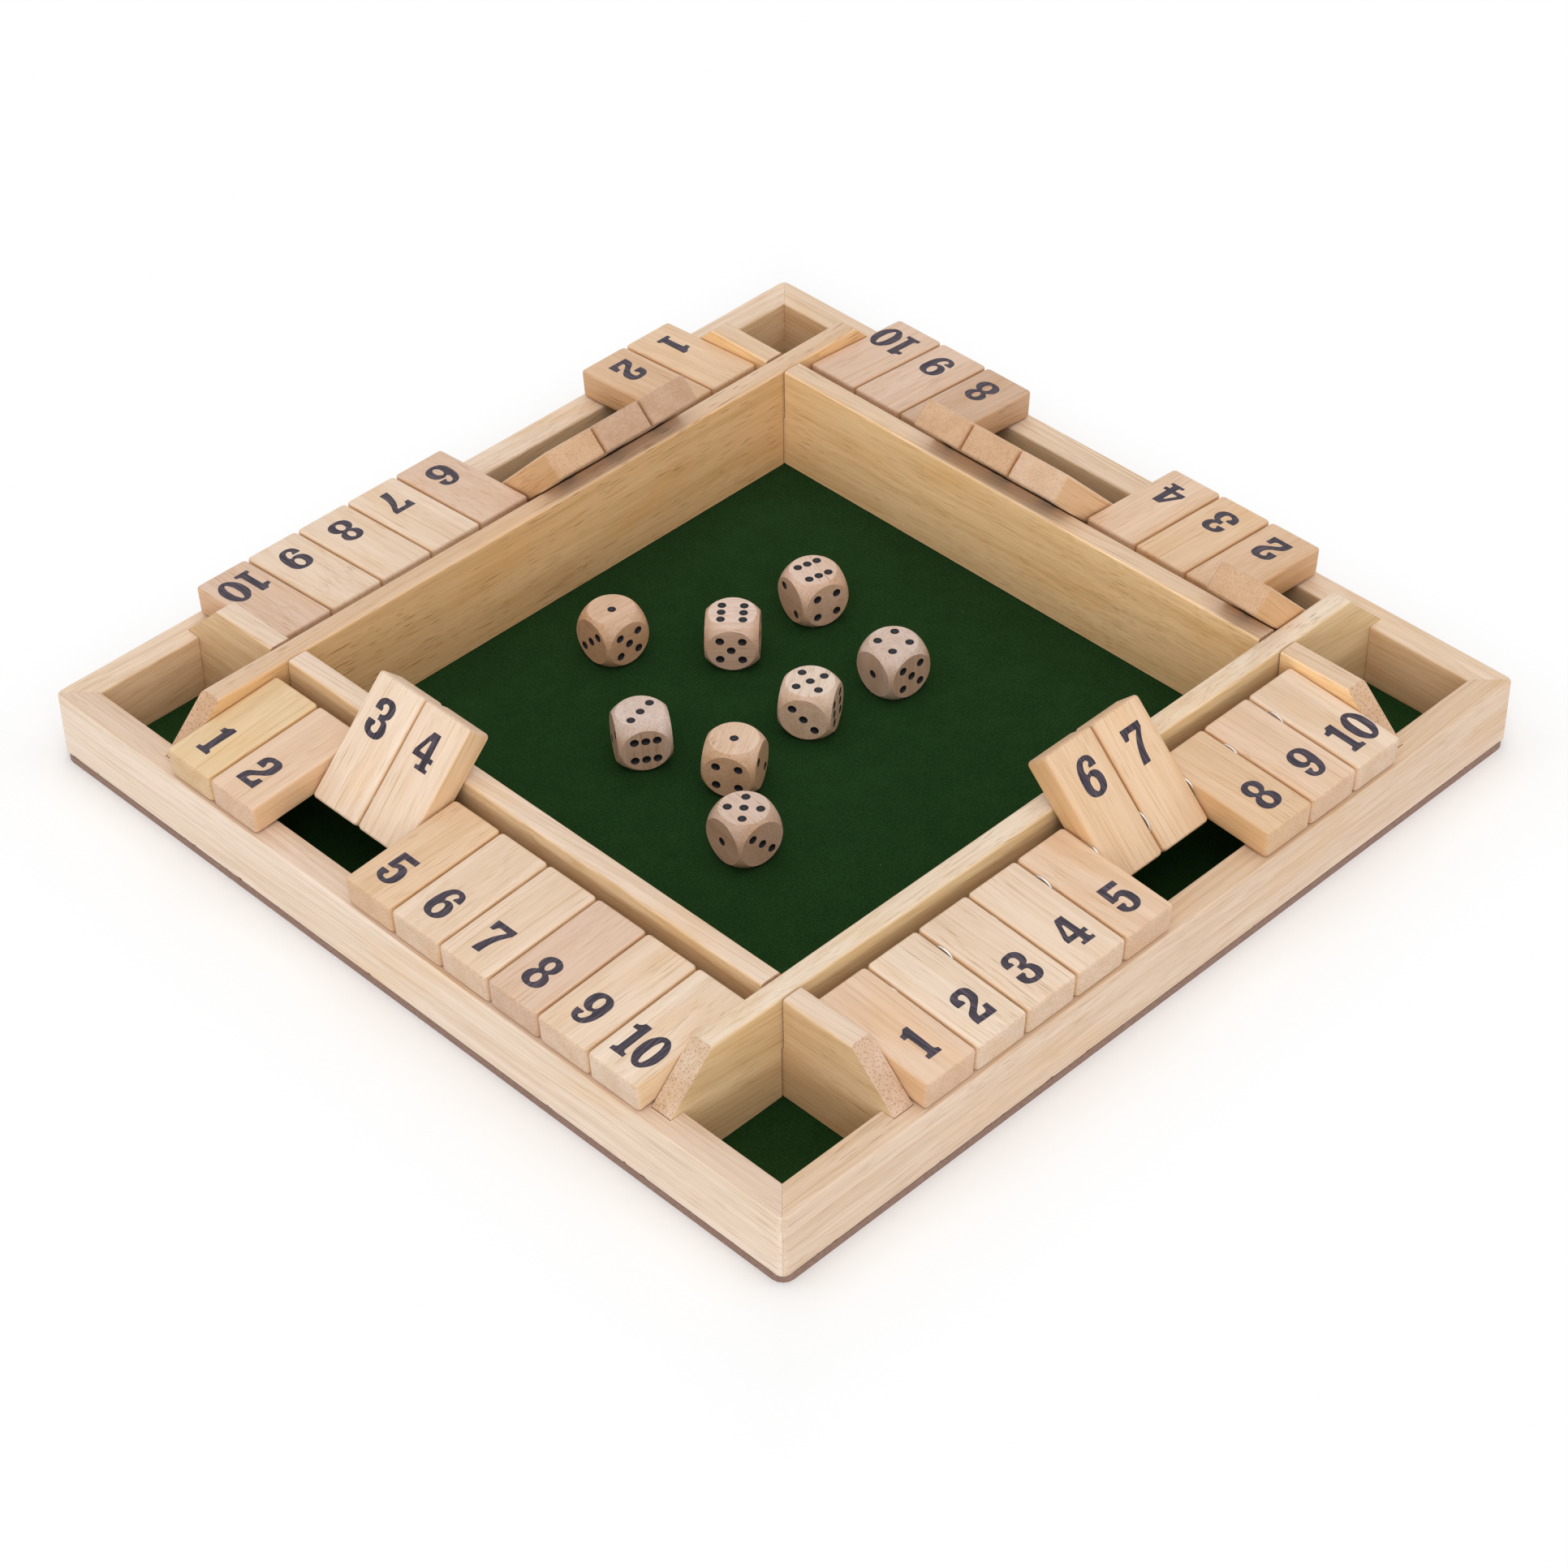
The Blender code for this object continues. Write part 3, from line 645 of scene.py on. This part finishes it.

# %% [markdown]
# ## The crossing boards
# Four thin boards stand on the felt and cross each other with half laps, two over and two under. Their top
# edges are well rounded. Each end slopes down from the top to the rail and ends in its notch. Holes beside
# the crossings hold the rods. Each board is made as the front one and turned into its place. The boards'
# sides carry a painted warm shade against their tops, their sloping ends show darker end grain, and the faces
# towards the tray carry painted light, most on the back and left boards.

# %% Boards
BOARD_TINT = {
    "front": (224, 203, 185),
    "right": (226, 209, 190),
    "back": (217, 191, 165),
    "left": (215, 186, 158),
}
# Painted light that lifts the faces towards the tray; below it the painted side shade and the end-grain tone
BOARD_PAINTED_INNER_LIGHT = {"front": 1.08, "right": 1.08, "back": (1.32, 1.38, 1.44), "left": (1.15, 1.17, 1.19)}
BOARD_PAINTED_SIDE_SHADE, BOARD_ENDS = (0.97, 0.87, 0.64), (0.84, 0.75, 0.68)
BOARD_END = RAIL_IN + 4.5 * MM
TOP_RADIUS = 1.0 * MM
LAP_LEVEL = (BOARD_BOTTOM + BOARD_TOP) / 2
LAP_ROOM, LAP_SIDE_ROOM = 0.1 * MM, 0.5 * MM
SOCKET_RADIUS, SOCKET_LENGTH = 1.7 * MM, 7 * MM

lap_half = (BOARD_OUT - TRAY_HALF) / 2 + LAP_SIDE_ROOM
for side, turn in TURNS.items():
    shape = bmesh.new()
    add_box(shape, (-BOARD_END, -BOARD_OUT, BOARD_BOTTOM), (BOARD_END, -TRAY_HALF, BOARD_TOP))
    for end in (-1, 1):
        cut_off(shape, (end * BOARD_END, 0, RAIL_TOP), (end, 0, 1))
    tops = [edge for edge in shape.edges if runs_along(edge, (1, 0, 0)) and edge.verts[0].co.z > RAIL_TOP]
    round_edges(shape, tops, TOP_RADIUS, 5)
    bmesh.ops.recalc_face_normals(shape, faces=shape.faces[:])
    low, high = (0, LAP_LEVEL + LAP_ROOM) if side in OVER else (LAP_LEVEL - LAP_ROOM, ABOVE)
    laps = []
    for aside in (-BOARD_MIDDLE, BOARD_MIDDLE):
        corner = (aside - lap_half, -BOARD_OUT - PAST, low)
        laps.append((corner, (aside + lap_half, -TRAY_HALF + PAST, high)))
    sockets = bmesh.new()
    for out in (-ROD_OUT, ROD_OUT):
        place = Matrix.Translation((out, -TRAY_HALF, ROD_LEVEL)) @ Matrix.Rotation(pi / 2, 4, "X")
        add_cylinder(sockets, SOCKET_RADIUS, SOCKET_LENGTH, place)
    mesh = combine(mesh_from(shape, "board"), [box_mesh(laps), mesh_from(sockets, "sockets")])
    set_material(mesh, OPEN_WOOD if side == "left" else BOARD_WOOD)
    shades = {"painted_warm_shade": BOARD_PAINTED_SIDE_SHADE, "ends": BOARD_ENDS, "inner": BOARD_PAINTED_INNER_LIGHT[side]}
    give_wood(mesh, colour(*BOARD_TINT[side]), **shades)
    mesh.transform(turn)
    finish_piece("crossing_board_" + side, mesh, "box", ["board_" + side])

# %% [markdown]
# ## The printed numbers
# The numbers are bold slab figures about twelve millimetres high. Each is given by its middle, its foot and
# its outlines. An outline is a row of points in millimetres: across the tile, and out from the rod. A bar
# marks a sharp corner, and the line runs smoothly through the other points. An oval is written as its middle
# and its half sizes. A nine is a six turned upside down.

# %% Number outlines
FIGURES = {
    1: (0.08, 24.0, [
        "|0.1,12.2 |1.7,12.3 |1.45,21.9 1.8,22.3 |2.5,22.6 |2.5,24 |-2.35,24 |-2.3,22.5 -1.3,22.4 "
        "|-0.95,22 |-1,15.3 |-2.3,15.3 |-2.25,13.5 -1.3,13.4 -0.5,12.8",
    ]),
    2: (0.4, 24.25, [
        "|-3,17 -3,15 -2.6,13.7 -1,12.5 0.5,12.3 2.5,12.4 3.9,13.6 4.15,15.2 4,17 3.2,18.2 1.6,19.5 "
        "0.2,20.6 -0.6,21.4 |-0.85,22.4 |1.2,22.5 1.8,22.1 2.1,21.3 |2.3,20.4 |4,20.4 |3.9,24.3 "
        "|-3.3,24.2 -3.1,21.5 -2.6,20.3 -1.2,19.2 0.3,18.1 1.2,16.9 1.5,15.6 1.2,14.2 0.6,14 "
        "-0.2,14.2 -0.65,14.8 -0.5,15.4 -0.15,16 |-0.2,17",
    ]),
    3: (0.7, 24.15, [
        "|-2.7,16.3 -2.7,15 -2.3,13.7 -1,12.6 0.6,12.3 2.4,12.4 3.8,13.4 4.3,14.9 4.1,16.4 3.5,17.4 "
        "|2.6,18 3.6,18.7 4.2,19.8 4.5,21.2 4.1,22.7 2.9,23.8 0.8,24.2 -1.2,23.8 -2.6,22.8 -3.1,21.4 "
        "|-3,19.5 |-0.3,19.5 -0.1,20.3 -0.7,21.2 -0.6,22 0.3,22.5 1.2,22.5 1.8,21.8 1.95,20.6 "
        "1.8,19.4 1.2,19 |0,18.9 |-0.05,17.1 1.1,17 1.8,16.4 2,15.3 1.7,14.3 0.8,13.9 -0.1,14.2 "
        "-0.4,14.8 0,15.4 |0,16.3",
    ]),
    4: (0.55, 23.7, [
        "|0.1,12.4 |2.9,12.4 |3,19.2 |4.4,19.2 |4.4,20.7 |3,20.7 |3,21.9 3.3,22.4 |4.2,22.5 |4.1,23.7 "
        "|-0.5,23.7 |-0.45,22.5 0.5,22.4 |0.8,21.9 |0.8,20.7 |-3.3,20.7 |-3.2,19",
        "|0.8,15.1 |0.3,15.1 |-1.4,18.7 |-1.2,19 |0.8,19",
    ]),
    5: (-0.6, 24.3, [
        "|-3.9,12.7 |2.5,12.8 |2.5,14.7 |-1.9,14.7 |-2,17.1 -1.3,16.7 0,16.5 1.7,16.9 2.8,18.5 "
        "3.1,20.3 2.8,22.3 1.6,23.7 -0.3,24.3 -2.4,23.9 -3.9,22.7 -4.3,21.4 |-4.3,20.3 |-1.6,20.3 "
        "-1.4,21.1 -1.9,21.8 -1.7,22.5 -0.9,22.8 -0.1,22.7 0.4,21.8 0.5,20.3 0.35,19.1 -0.3,18.3 "
        "-1,18.3 |-1.9,18.95 |-4.1,18.9",
    ]),
    6: (-0.4, 24.45, [
        "|3.2,16.4 3.1,15 2.5,13.6 1.3,12.8 -0.2,12.6 -1.9,13.1 -3.3,14.8 -4,17.2 -4.2,19.8 -4,22 "
        "-2.9,23.7 -0.9,24.4 1.2,24.2 2.8,23 3.4,21 3.2,19.2 2.3,17.8 1,17.2 -0.1,17.2 |-1.1,17.7 "
        "-1.5,17 -1.3,15.6 -0.8,14.6 0,14.1 0.8,14.3 1.1,14.9 0.8,15.4 0.5,16 |0.6,16.4",
        (-0.35, 20.8, 1.25, 2.2),
    ]),
    7: (-0.5, 24.55, [
        "|-4.2,13.1 |3.2,13.1 |3.1,15 2,16.9 1.1,19 0.55,21.5 |0.4,24.5 |-2.5,24.6 -2.2,22.6 -1.5,20 "
        "-0.6,17.8 |1,15.3 |0.9,15 |-1.6,14.95 -2.1,15.2 -2.4,15.9 |-2.7,16.6 |-4.1,16.6",
    ]),
    8: (-0.2, 24.15, [
        "-0.3,12.3 1.6,12.8 2.9,14.2 3,15.5 2.7,16.8 |1.5,18 3,19.2 3.55,21 3.1,22.7 1.8,23.8 "
        "-0.2,24.15 -2.3,23.8 -3.6,22.6 -4,21 -3.5,19.3 |-2.1,18 -3.3,16.9 -3.65,15.5 -3.4,14.1 "
        "-2.2,12.8",
        (-0.3, 15.65, 1.1, 1.75),
        (-0.25, 20.75, 1.25, 1.9),
    ]),
    10: (0.0, 25.0, [
        "|-5.1,13 |-2.7,13.1 |-2.7,22.9 -2.3,23.4 |-1.35,23.6 |-1.35,25 |-6.25,25 |-6.25,23.6 "
        "-5.5,23.4 |-5.1,22.9 |-5.1,16 |-7,16 |-7,14.5 -6.1,14.3 -5.5,13.8",
        (2.95, 19.0, 3.9, 6.1),
        (3.05, 19.0, 1.15, 4.4),
    ]),
}


def figure_mesh(number):
    """A figure as a closed slab 2 units thick about z = 0, x across and y up, with its foot at y = 0."""
    middle, foot, outlines = FIGURES[6 if number == 9 else number]
    curve = bpy.data.curves.new("figure", "CURVE")
    curve.dimensions = "2D"
    curve.fill_mode = "BOTH"
    curve.extrude = 1.0
    curve.resolution_u = 5
    for outline in outlines:
        if isinstance(outline, tuple):
            x, y, wide, high = outline
            turns = [k * pi / 4 for k in range(8)]
            points = [(x + wide * cos(t), y + high * sin(t), False) for t in turns]
        else:
            points = []
            for word in outline.split():
                x, y = word.strip("|").split(",")
                points.append((float(x), float(y), word.startswith("|")))
        spline = curve.splines.new("BEZIER")
        spline.bezier_points.add(len(points) - 1)
        spline.use_cyclic_u = True
        for point, (x, y, sharp) in zip(spline.bezier_points, points):
            point.co = (x - middle, foot - y, 0)
            point.handle_left_type = point.handle_right_type = "VECTOR" if sharp else "AUTO"
    mesh = baked(add_object("figure", curve))
    shape = bmesh.new()
    shape.from_mesh(mesh)
    bmesh.ops.remove_doubles(shape, verts=shape.verts, dist=0.001)
    bmesh.ops.recalc_face_normals(shape, faces=shape.faces[:])
    if number == 9:
        height = max(vert.co.y for vert in shape.verts)
        turn = Matrix.Translation((0, height, 0)) @ Matrix.Rotation(pi, 4, "Z")
        bmesh.ops.transform(shape, matrix=turn, verts=shape.verts)
    return mesh_from(shape, "figure")


FIGURE_MESHES = {number: figure_mesh(number) for number in NUMBERS}
print("figures", {number: len(mesh.vertices) for number, mesh in FIGURE_MESHES.items()})

# %% [markdown]
# ## The tiles
# Forty tiles turn on the rods, ten on each side. They are cut from mixed strips of wood, so the colour
# changes from tile to tile. There are eight colours, and each side lists its own from tile 1 to tile 10. The
# figures drift a little sideways along each row.

# %% Tile sizes and woods
TILE_WIDTH, TILE_REACH, TILE_TAIL, TILE_HALF = 18.4 * MM, 30.1 * MM, 10.1 * MM, 4.6 * MM
WOODS = {
    "amber": (226, 199, 160),
    "cream": (229, 206, 184),
    "tan": (226, 197, 172),
    "pink": (218, 189, 168),
    "pale": (233, 213, 194),
    "honey": (223, 192, 160),
    "ochre": (216, 182, 150),
    "brown": (201, 169, 144),
}
TILE_WOODS = {
    "front": "amber tan pale cream honey cream cream pink cream pale",
    "right": "tan pale cream cream tan honey honey honey tan cream",
    "back": "ochre ochre honey tan tan ochre ochre brown pink pink",
    "left": "honey ochre brown brown ochre pink cream cream cream pink",
}
# In millimetres, as the figures are: where tile 1's figure is, the step from tile to tile, and the play
PRINT_START = {"front": -1.2, "right": 0.1, "back": 0.1, "left": -0.9}
PRINT_STEP, PRINT_PLAY = 0.14, 0.12
# How far each figure's foot is from the rod, on the upper face and on the under one
TOP_FOOT = {number: foot for number, (middle, foot, outlines) in FIGURES.items()} | {9: 24.4}
UNDER_FOOT = 12.6
INK_PROUD = 0.04
print("tile", round(TILE_WIDTH, 4), "m wide,", len(WOODS), "woods")

# %% [markdown]
# The blank is one block with its corners and edges rounded and a bore for the rod. A figure is a slab that
# is joined on so that it stands a hair proud of the face. It is on both faces: on the upper one it reads from
# outside the box, and on the other it reads when the tile has been flipped over and leans back on the board.

# %% Tile blank and print
TILE_CORNER, TILE_EDGE = 1.3 * MM, 0.85 * MM
BORE_RADIUS, BORE_LENGTH = 1.75 * MM, 0.03


def tile_blank():
    """The bare tile about its rod: x across, outer end towards -Y, the face that shows when it lies up."""
    shape = bmesh.new()
    add_box(shape, (-TILE_WIDTH / 2, -TILE_REACH, -TILE_HALF), (TILE_WIDTH / 2, TILE_TAIL, TILE_HALF))
    round_edges(shape, [edge for edge in shape.edges if runs_along(edge, (0, 0, 1))], TILE_CORNER, 5)
    round_edges(shape, [edge for edge in shape.edges if edge.calc_face_angle() > 1.2], TILE_EDGE, 4)
    bore = bmesh.new()
    add_cylinder(bore, BORE_RADIUS, BORE_LENGTH, Matrix.Rotation(pi / 2, 4, "Y"))
    return combine(mesh_from(shape, "tile"), [mesh_from(bore, "bore")])


def printed(number, offset, upper):
    """The figure as a slab that reaches just above one face of the tile."""
    mesh = FIGURE_MESHES[number].copy()
    height = TILE_HALF / MM + INK_PROUD - 1
    if upper:
        place = Matrix.Translation((offset, -TOP_FOOT[number], height))
    else:
        place = Matrix.Translation((offset, -UNDER_FOOT, -height)) @ Matrix.Rotation(pi, 4, "X")
    mesh.transform(Matrix.Scale(MM, 4) @ place)
    set_material(mesh, INK)
    return mesh


BLANK = tile_blank()
set_material(BLANK, TILE_WOOD)
print("blank", len(BLANK.polygons), "faces")

# %% [markdown]
# Each tile is put where its CAD solid is. The frame gives the rod's line, and the solid's largest face gives
# the lean, so a tile that is up in the picture is up here, and each rides on its own body and flips with it.

# %% Tiles
TILE_ENDS = (0.87, 0.82, 0.78)
for side in SIDES:
    for number in NUMBERS:
        name = f"tile_{side}_{number:02d}"
        flip = FLIPS[name]
        rod = Vector(flip["pos_m"])
        across = -Vector(flip["axis"])
        solid = frame["nodes"][name].data
        outward = max(solid.polygons, key=lambda face: face.area).normal.cross(across).normalized()
        corners = [vert.co - rod for vert in solid.vertices]
        furthest = max(corners, key=lambda point: point.cross(across).length)
        if outward.dot(furthest) < 0:
            outward.negate()
        play = WOOD_STORE.uniform(-PRINT_PLAY, PRINT_PLAY)
        slip = PRINT_START[side] + PRINT_STEP * (number - 1) + play
        prints = [printed(number, slip, True), printed(number, slip, False)]
        mesh = combine(BLANK.copy(), prints, "UNION")
        tint = colour(*WOODS[TILE_WOODS[side].split()[number - 1]])
        # The long sides take the painted warm shade, and the ends a darker end-grain tone
        give_wood(mesh, tint, "y", ends=TILE_ENDS)
        turn = Matrix((across, -outward, across.cross(-outward))).transposed().to_4x4()
        mesh.transform(Matrix.Translation(rod) @ turn)
        finish_piece("printed_" + name, mesh, name, [name])

# %% [markdown]
# ## Rods and washers
# A bright steel rod runs through each row of tiles, with a thin washer between neighbours. The washers are
# instances along the rod, made with Geometry Nodes, so their number, pitch and size are plain inputs. Their
# holes are wider than the rod, so most hang a little low, and only those on the right stand up in the gaps.


# %% Washer nodes
def group_input(group, name, kind, value=None):
    socket = group.interface.new_socket(name, in_out="INPUT", socket_type="NodeSocket" + kind)
    if value is not None:
        socket.default_value = value
    return socket.identifier


WASHERS = bpy.data.node_groups.new("washers_on_rod", "GeometryNodeTree")
INPUTS = {
    "rod": ("Rod", "Geometry"),
    "count": ("Count", "Int", 9),
    "pitch": ("Pitch", "Float", 19.1 * MM),
    "middle": ("Middle radius", "Float", 5.0 * MM),
    "width": ("Ring width", "Float", 2.4 * MM),
    "thickness": ("Thickness", "Float", 0.5 * MM),
    "lowest": ("Lowest", "Float", -2.0 * MM),
    "highest": ("Highest", "Float", -1.6 * MM),
    "seed": ("Seed", "Int", 3),
    "metal": ("Metal", "Material"),
}
KEYS = {key: group_input(WASHERS, *row) for key, row in INPUTS.items()}
WASHERS.interface.new_socket("Geometry", in_out="OUTPUT", socket_type="NodeSocketGeometry")
given = add_node(WASHERS, "NodeGroupInput").outputs
gaps = math(WASHERS, "SUBTRACT", given["Count"], 1.0)
first = math(WASHERS, "MULTIPLY", math(WASHERS, "MULTIPLY", gaps, given["Pitch"]), -0.5)
step = node(WASHERS, "CombineXYZ", {"X": given["Pitch"]}).outputs[0]
origin = node(WASHERS, "CombineXYZ", {"X": first}).outputs[0]
row = {"Count": given["Count"], "Start Location": origin, "Offset": step}
line = add_node(WASHERS, "GeometryNodeMeshLine", row)
size = {"Resolution": 40, "Radius": given["Middle radius"]}
circle = add_node(WASHERS, "GeometryNodeCurvePrimitiveCircle", size)
size = {"Width": given["Ring width"], "Height": given["Thickness"]}
section = add_node(WASHERS, "GeometryNodeCurvePrimitiveQuadrilateral", size)
curves = {"Curve": circle.outputs["Curve"], "Profile Curve": section.outputs["Curve"]}
ring = add_node(WASHERS, "GeometryNodeCurveToMesh", curves)
between = {2: given["Lowest"], 3: given["Highest"], "Seed": given["Seed"]}
drop = add_node(WASHERS, "FunctionNodeRandomValue", between).outputs[1]
fall = node(WASHERS, "CombineXYZ", {"Z": drop}).outputs[0]
hung = add_node(WASHERS, "GeometryNodeSetPosition", {"Geometry": line.outputs[0], "Offset": fall})
stand = {"Points": hung.outputs[0], "Instance": ring.outputs[0], "Rotation": (0, pi / 2, 0)}
stood = add_node(WASHERS, "GeometryNodeInstanceOnPoints", stand)
real = add_node(WASHERS, "GeometryNodeRealizeInstances", {0: stood.outputs[0]})
joined = add_node(WASHERS, "GeometryNodeJoinGeometry")
WASHERS.links.new(given["Rod"], joined.inputs[0])
WASHERS.links.new(real.outputs[0], joined.inputs[0])
coat = {"Geometry": joined.outputs[0], "Material": given["Metal"]}
painted = add_node(WASHERS, "GeometryNodeSetMaterial", coat)
add_node(WASHERS, "NodeGroupOutput", {0: painted.outputs[0]})
print("washer inputs", list(KEYS))

# %% [markdown]
# The rod itself is a plain cylinder that ends inside the boards. The modifier's inputs are set by their keys
# before it is first evaluated, and the result is baked into one mesh for each side.

# %% Rods
ROD_RADIUS, ROD_HALF = 1.5 * MM, TRAY_HALF + 3.2 * MM
LOOSE = {"middle": 4.3 * MM, "lowest": -1.5 * MM, "highest": 0.05 * MM, "seed": 46}
HUNG_LOW = {"middle": 4.0 * MM, "lowest": -1.7 * MM, "highest": -1.5 * MM, "seed": 5}
for side, turn in TURNS.items():
    shape = bmesh.new()
    add_cylinder(shape, ROD_RADIUS, 2 * ROD_HALF, Matrix.Rotation(pi / 2, 4, "Y"), segments=32)
    rod = add_object("rod", mesh_from(shape, "rod"))
    modifier = rod.modifiers.new("washers", "NODES")
    modifier.node_group = WASHERS
    values = {"count": 9, "pitch": TILE_PITCH, "width": 1.4 * MM, "thickness": 0.4 * MM, "metal": STEEL}
    values |= LOOSE if side == "right" else HUNG_LOW
    for key, value in values.items():
        modifier[KEYS[key]] = value
    mesh = baked(rod)
    mesh.transform(turn @ Matrix.Translation((0, -ROD_OUT, ROD_LEVEL)))
    finish_piece("steel_rod_" + side, mesh, "box", ["rod_" + side])
print("rod half length", round(ROD_HALF, 5))

# %% [markdown]
# ## The dice
# The eight wooden dice have well rounded corners, so each is a cube with its corners taken off by a ball. The
# pips are drilled as shallow round dimples and painted, and opposite faces add up to seven. A painted shade
# darkens the four sides of each die against its top and bottom, whichever way its grain runs.

# %% Dice
DIE_HALF, BALL_SIDE = 8 * MM, 7.2 * MM
PIP_STEP, PIP_DEPTH, PIP_HALF = 3.3 * MM, 0.6 * MM, 1.3 * MM
# The painted shade on the four sides of each die
DIE_PAINTED_SHADE = (0.88, 0.78, 0.68)
REST_GAP = 0.3 * MM
# For each number, the way its face looks, and one direction along that face
DIE_SIDES = {
    1: ((0, 0, 1), (1, 0, 0)),
    2: ((1, 0, 0), (0, 1, 0)),
    3: ((0, 1, 0), (1, 0, 0)),
    4: ((0, -1, 0), (1, 0, 0)),
    5: ((-1, 0, 0), (0, 1, 0)),
    6: ((0, 0, -1), (1, 0, 0)),
}
PIPS = {
    1: [(0, 0)],
    2: [(1, -1), (-1, 1)],
    3: [(0, 0), (1, -1), (-1, 1)],
    4: [(1, -1), (-1, 1), (1, 1), (-1, -1)],
    5: [(0, 0), (1, -1), (-1, 1), (1, 1), (-1, -1)],
    6: [(1, -1), (-1, 1), (1, 1), (-1, -1), (0, 1), (0, -1)],
}
# For each die: x and y in die sizes, its turn in degrees, the number on top and the one towards the front
DICE = [(-4.05, -0.42, -5, 1, 3), (-2.39, 1.06, 42, 6, 5), (-2.23, 3.0, -14, 6, 2), (0.32, 2.51, -5, 4, 1)]
DICE += [(0.04, 0.64, 30, 5, 3), (-1.53, -2.08, -33, 3, 2), (0.2, -1.43, 30, 1, 4), (1.66, -2.62, -6, 5, 1)]
DICE_TINT = [(214, 184, 161), (223, 201, 191), (219, 194, 180), (209, 189, 179)]
DICE_TINT += [(226, 208, 196), (213, 194, 185), (221, 193, 171), (216, 194, 184)]


def die_blank():
    """A die about its middle, with 1 upwards. The ball leaves a circle just short of each face's edges."""
    shape = bmesh.new()
    add_box(shape, (-DIE_HALF,) * 3, (DIE_HALF,) * 3)
    ball = bmesh.new()
    bmesh.ops.create_uvsphere(ball, u_segments=72, v_segments=36, radius=hypot(DIE_HALF, BALL_SIDE))
    die = combine(mesh_from(shape, "die"), [mesh_from(ball, "ball")], "INTERSECT")
    set_material(die, DIE_WOOD)
    pips = bmesh.new()
    radius = (PIP_HALF**2 + PIP_DEPTH**2) / (2 * PIP_DEPTH)
    for number, (outward, across) in DIE_SIDES.items():
        outward, across = Vector(outward), Vector(across)
        other = outward.cross(across)
        if other.z < 0 or other.y < 0:
            other.negate()
        for first, second in PIPS[number]:
            centre = outward * (DIE_HALF + radius - PIP_DEPTH) + (across * first + other * second) * PIP_STEP
            bmesh.ops.create_icosphere(pips, subdivisions=4, radius=radius, matrix=Matrix.Translation(centre))
    drills = mesh_from(pips, "pips")
    drills.materials.append(PAINT)
    return combine(die, [drills])


DIE = die_blank()
for index, (x, y, turn, top, facing) in enumerate(DICE, 1):
    upward = Vector(DIE_SIDES[top][0])
    behind = -Vector(DIE_SIDES[facing][0])
    rest = Matrix((behind.cross(upward), behind, upward)).to_4x4()
    place = Vector((x * 2 * DIE_HALF, y * 2 * DIE_HALF, FELT_TOP + REST_GAP + DIE_HALF))
    mesh = DIE.copy()
    # The painted shade also goes on end-grain faces that are sides, but not on end grain that is up
    ends = 1.0 if upward.y else DIE_PAINTED_SHADE
    give_wood(mesh, colour(*DICE_TINT[index - 1]), "y", DIE_PAINTED_SHADE, upward, ends=ends)
    mesh.transform(Matrix.Translation(place) @ Matrix.Rotation(radians(turn), 4, "Z") @ rest)
    finish_piece(f"wooden_die_{index}", mesh, f"die_{index}", [f"die_{index}"])
print("dice", len(DICE))

# %% [markdown]
# ## Felt and base
# The felt is one thin sheet over the whole floor, and the boards stand on it. It is a fine grid that has been
# given its thickness downwards. It lies flat on the base board, which keeps its CAD mesh and only gets its
# finish.

# %% Felt and base
FELT_CELLS = 120
shape = bmesh.new()
bmesh.ops.create_grid(shape, x_segments=FELT_CELLS, y_segments=FELT_CELLS, size=FELT_HALF)
felt_mesh = mesh_from(shape, "felt")
felt_mesh.transform(Matrix.Translation((0, 0, FELT_TOP)))
felt = add_object("felt_sheet", felt_mesh)
thick = felt.modifiers.new("thick", "SOLIDIFY")
thick.thickness = FELT_TOP - FELT_BOTTOM
thick.offset = -1
mesh = baked(felt)
mesh.materials.append(FELT)
felt = finish_piece("felt_sheet", mesh, "box", ["felt_lining"])

base = frame["nodes"]["base_board"]
base.data.materials.clear()
base.data.materials.append(HARDBOARD)
print("felt", round(2 * FELT_HALF, 4), "m square")
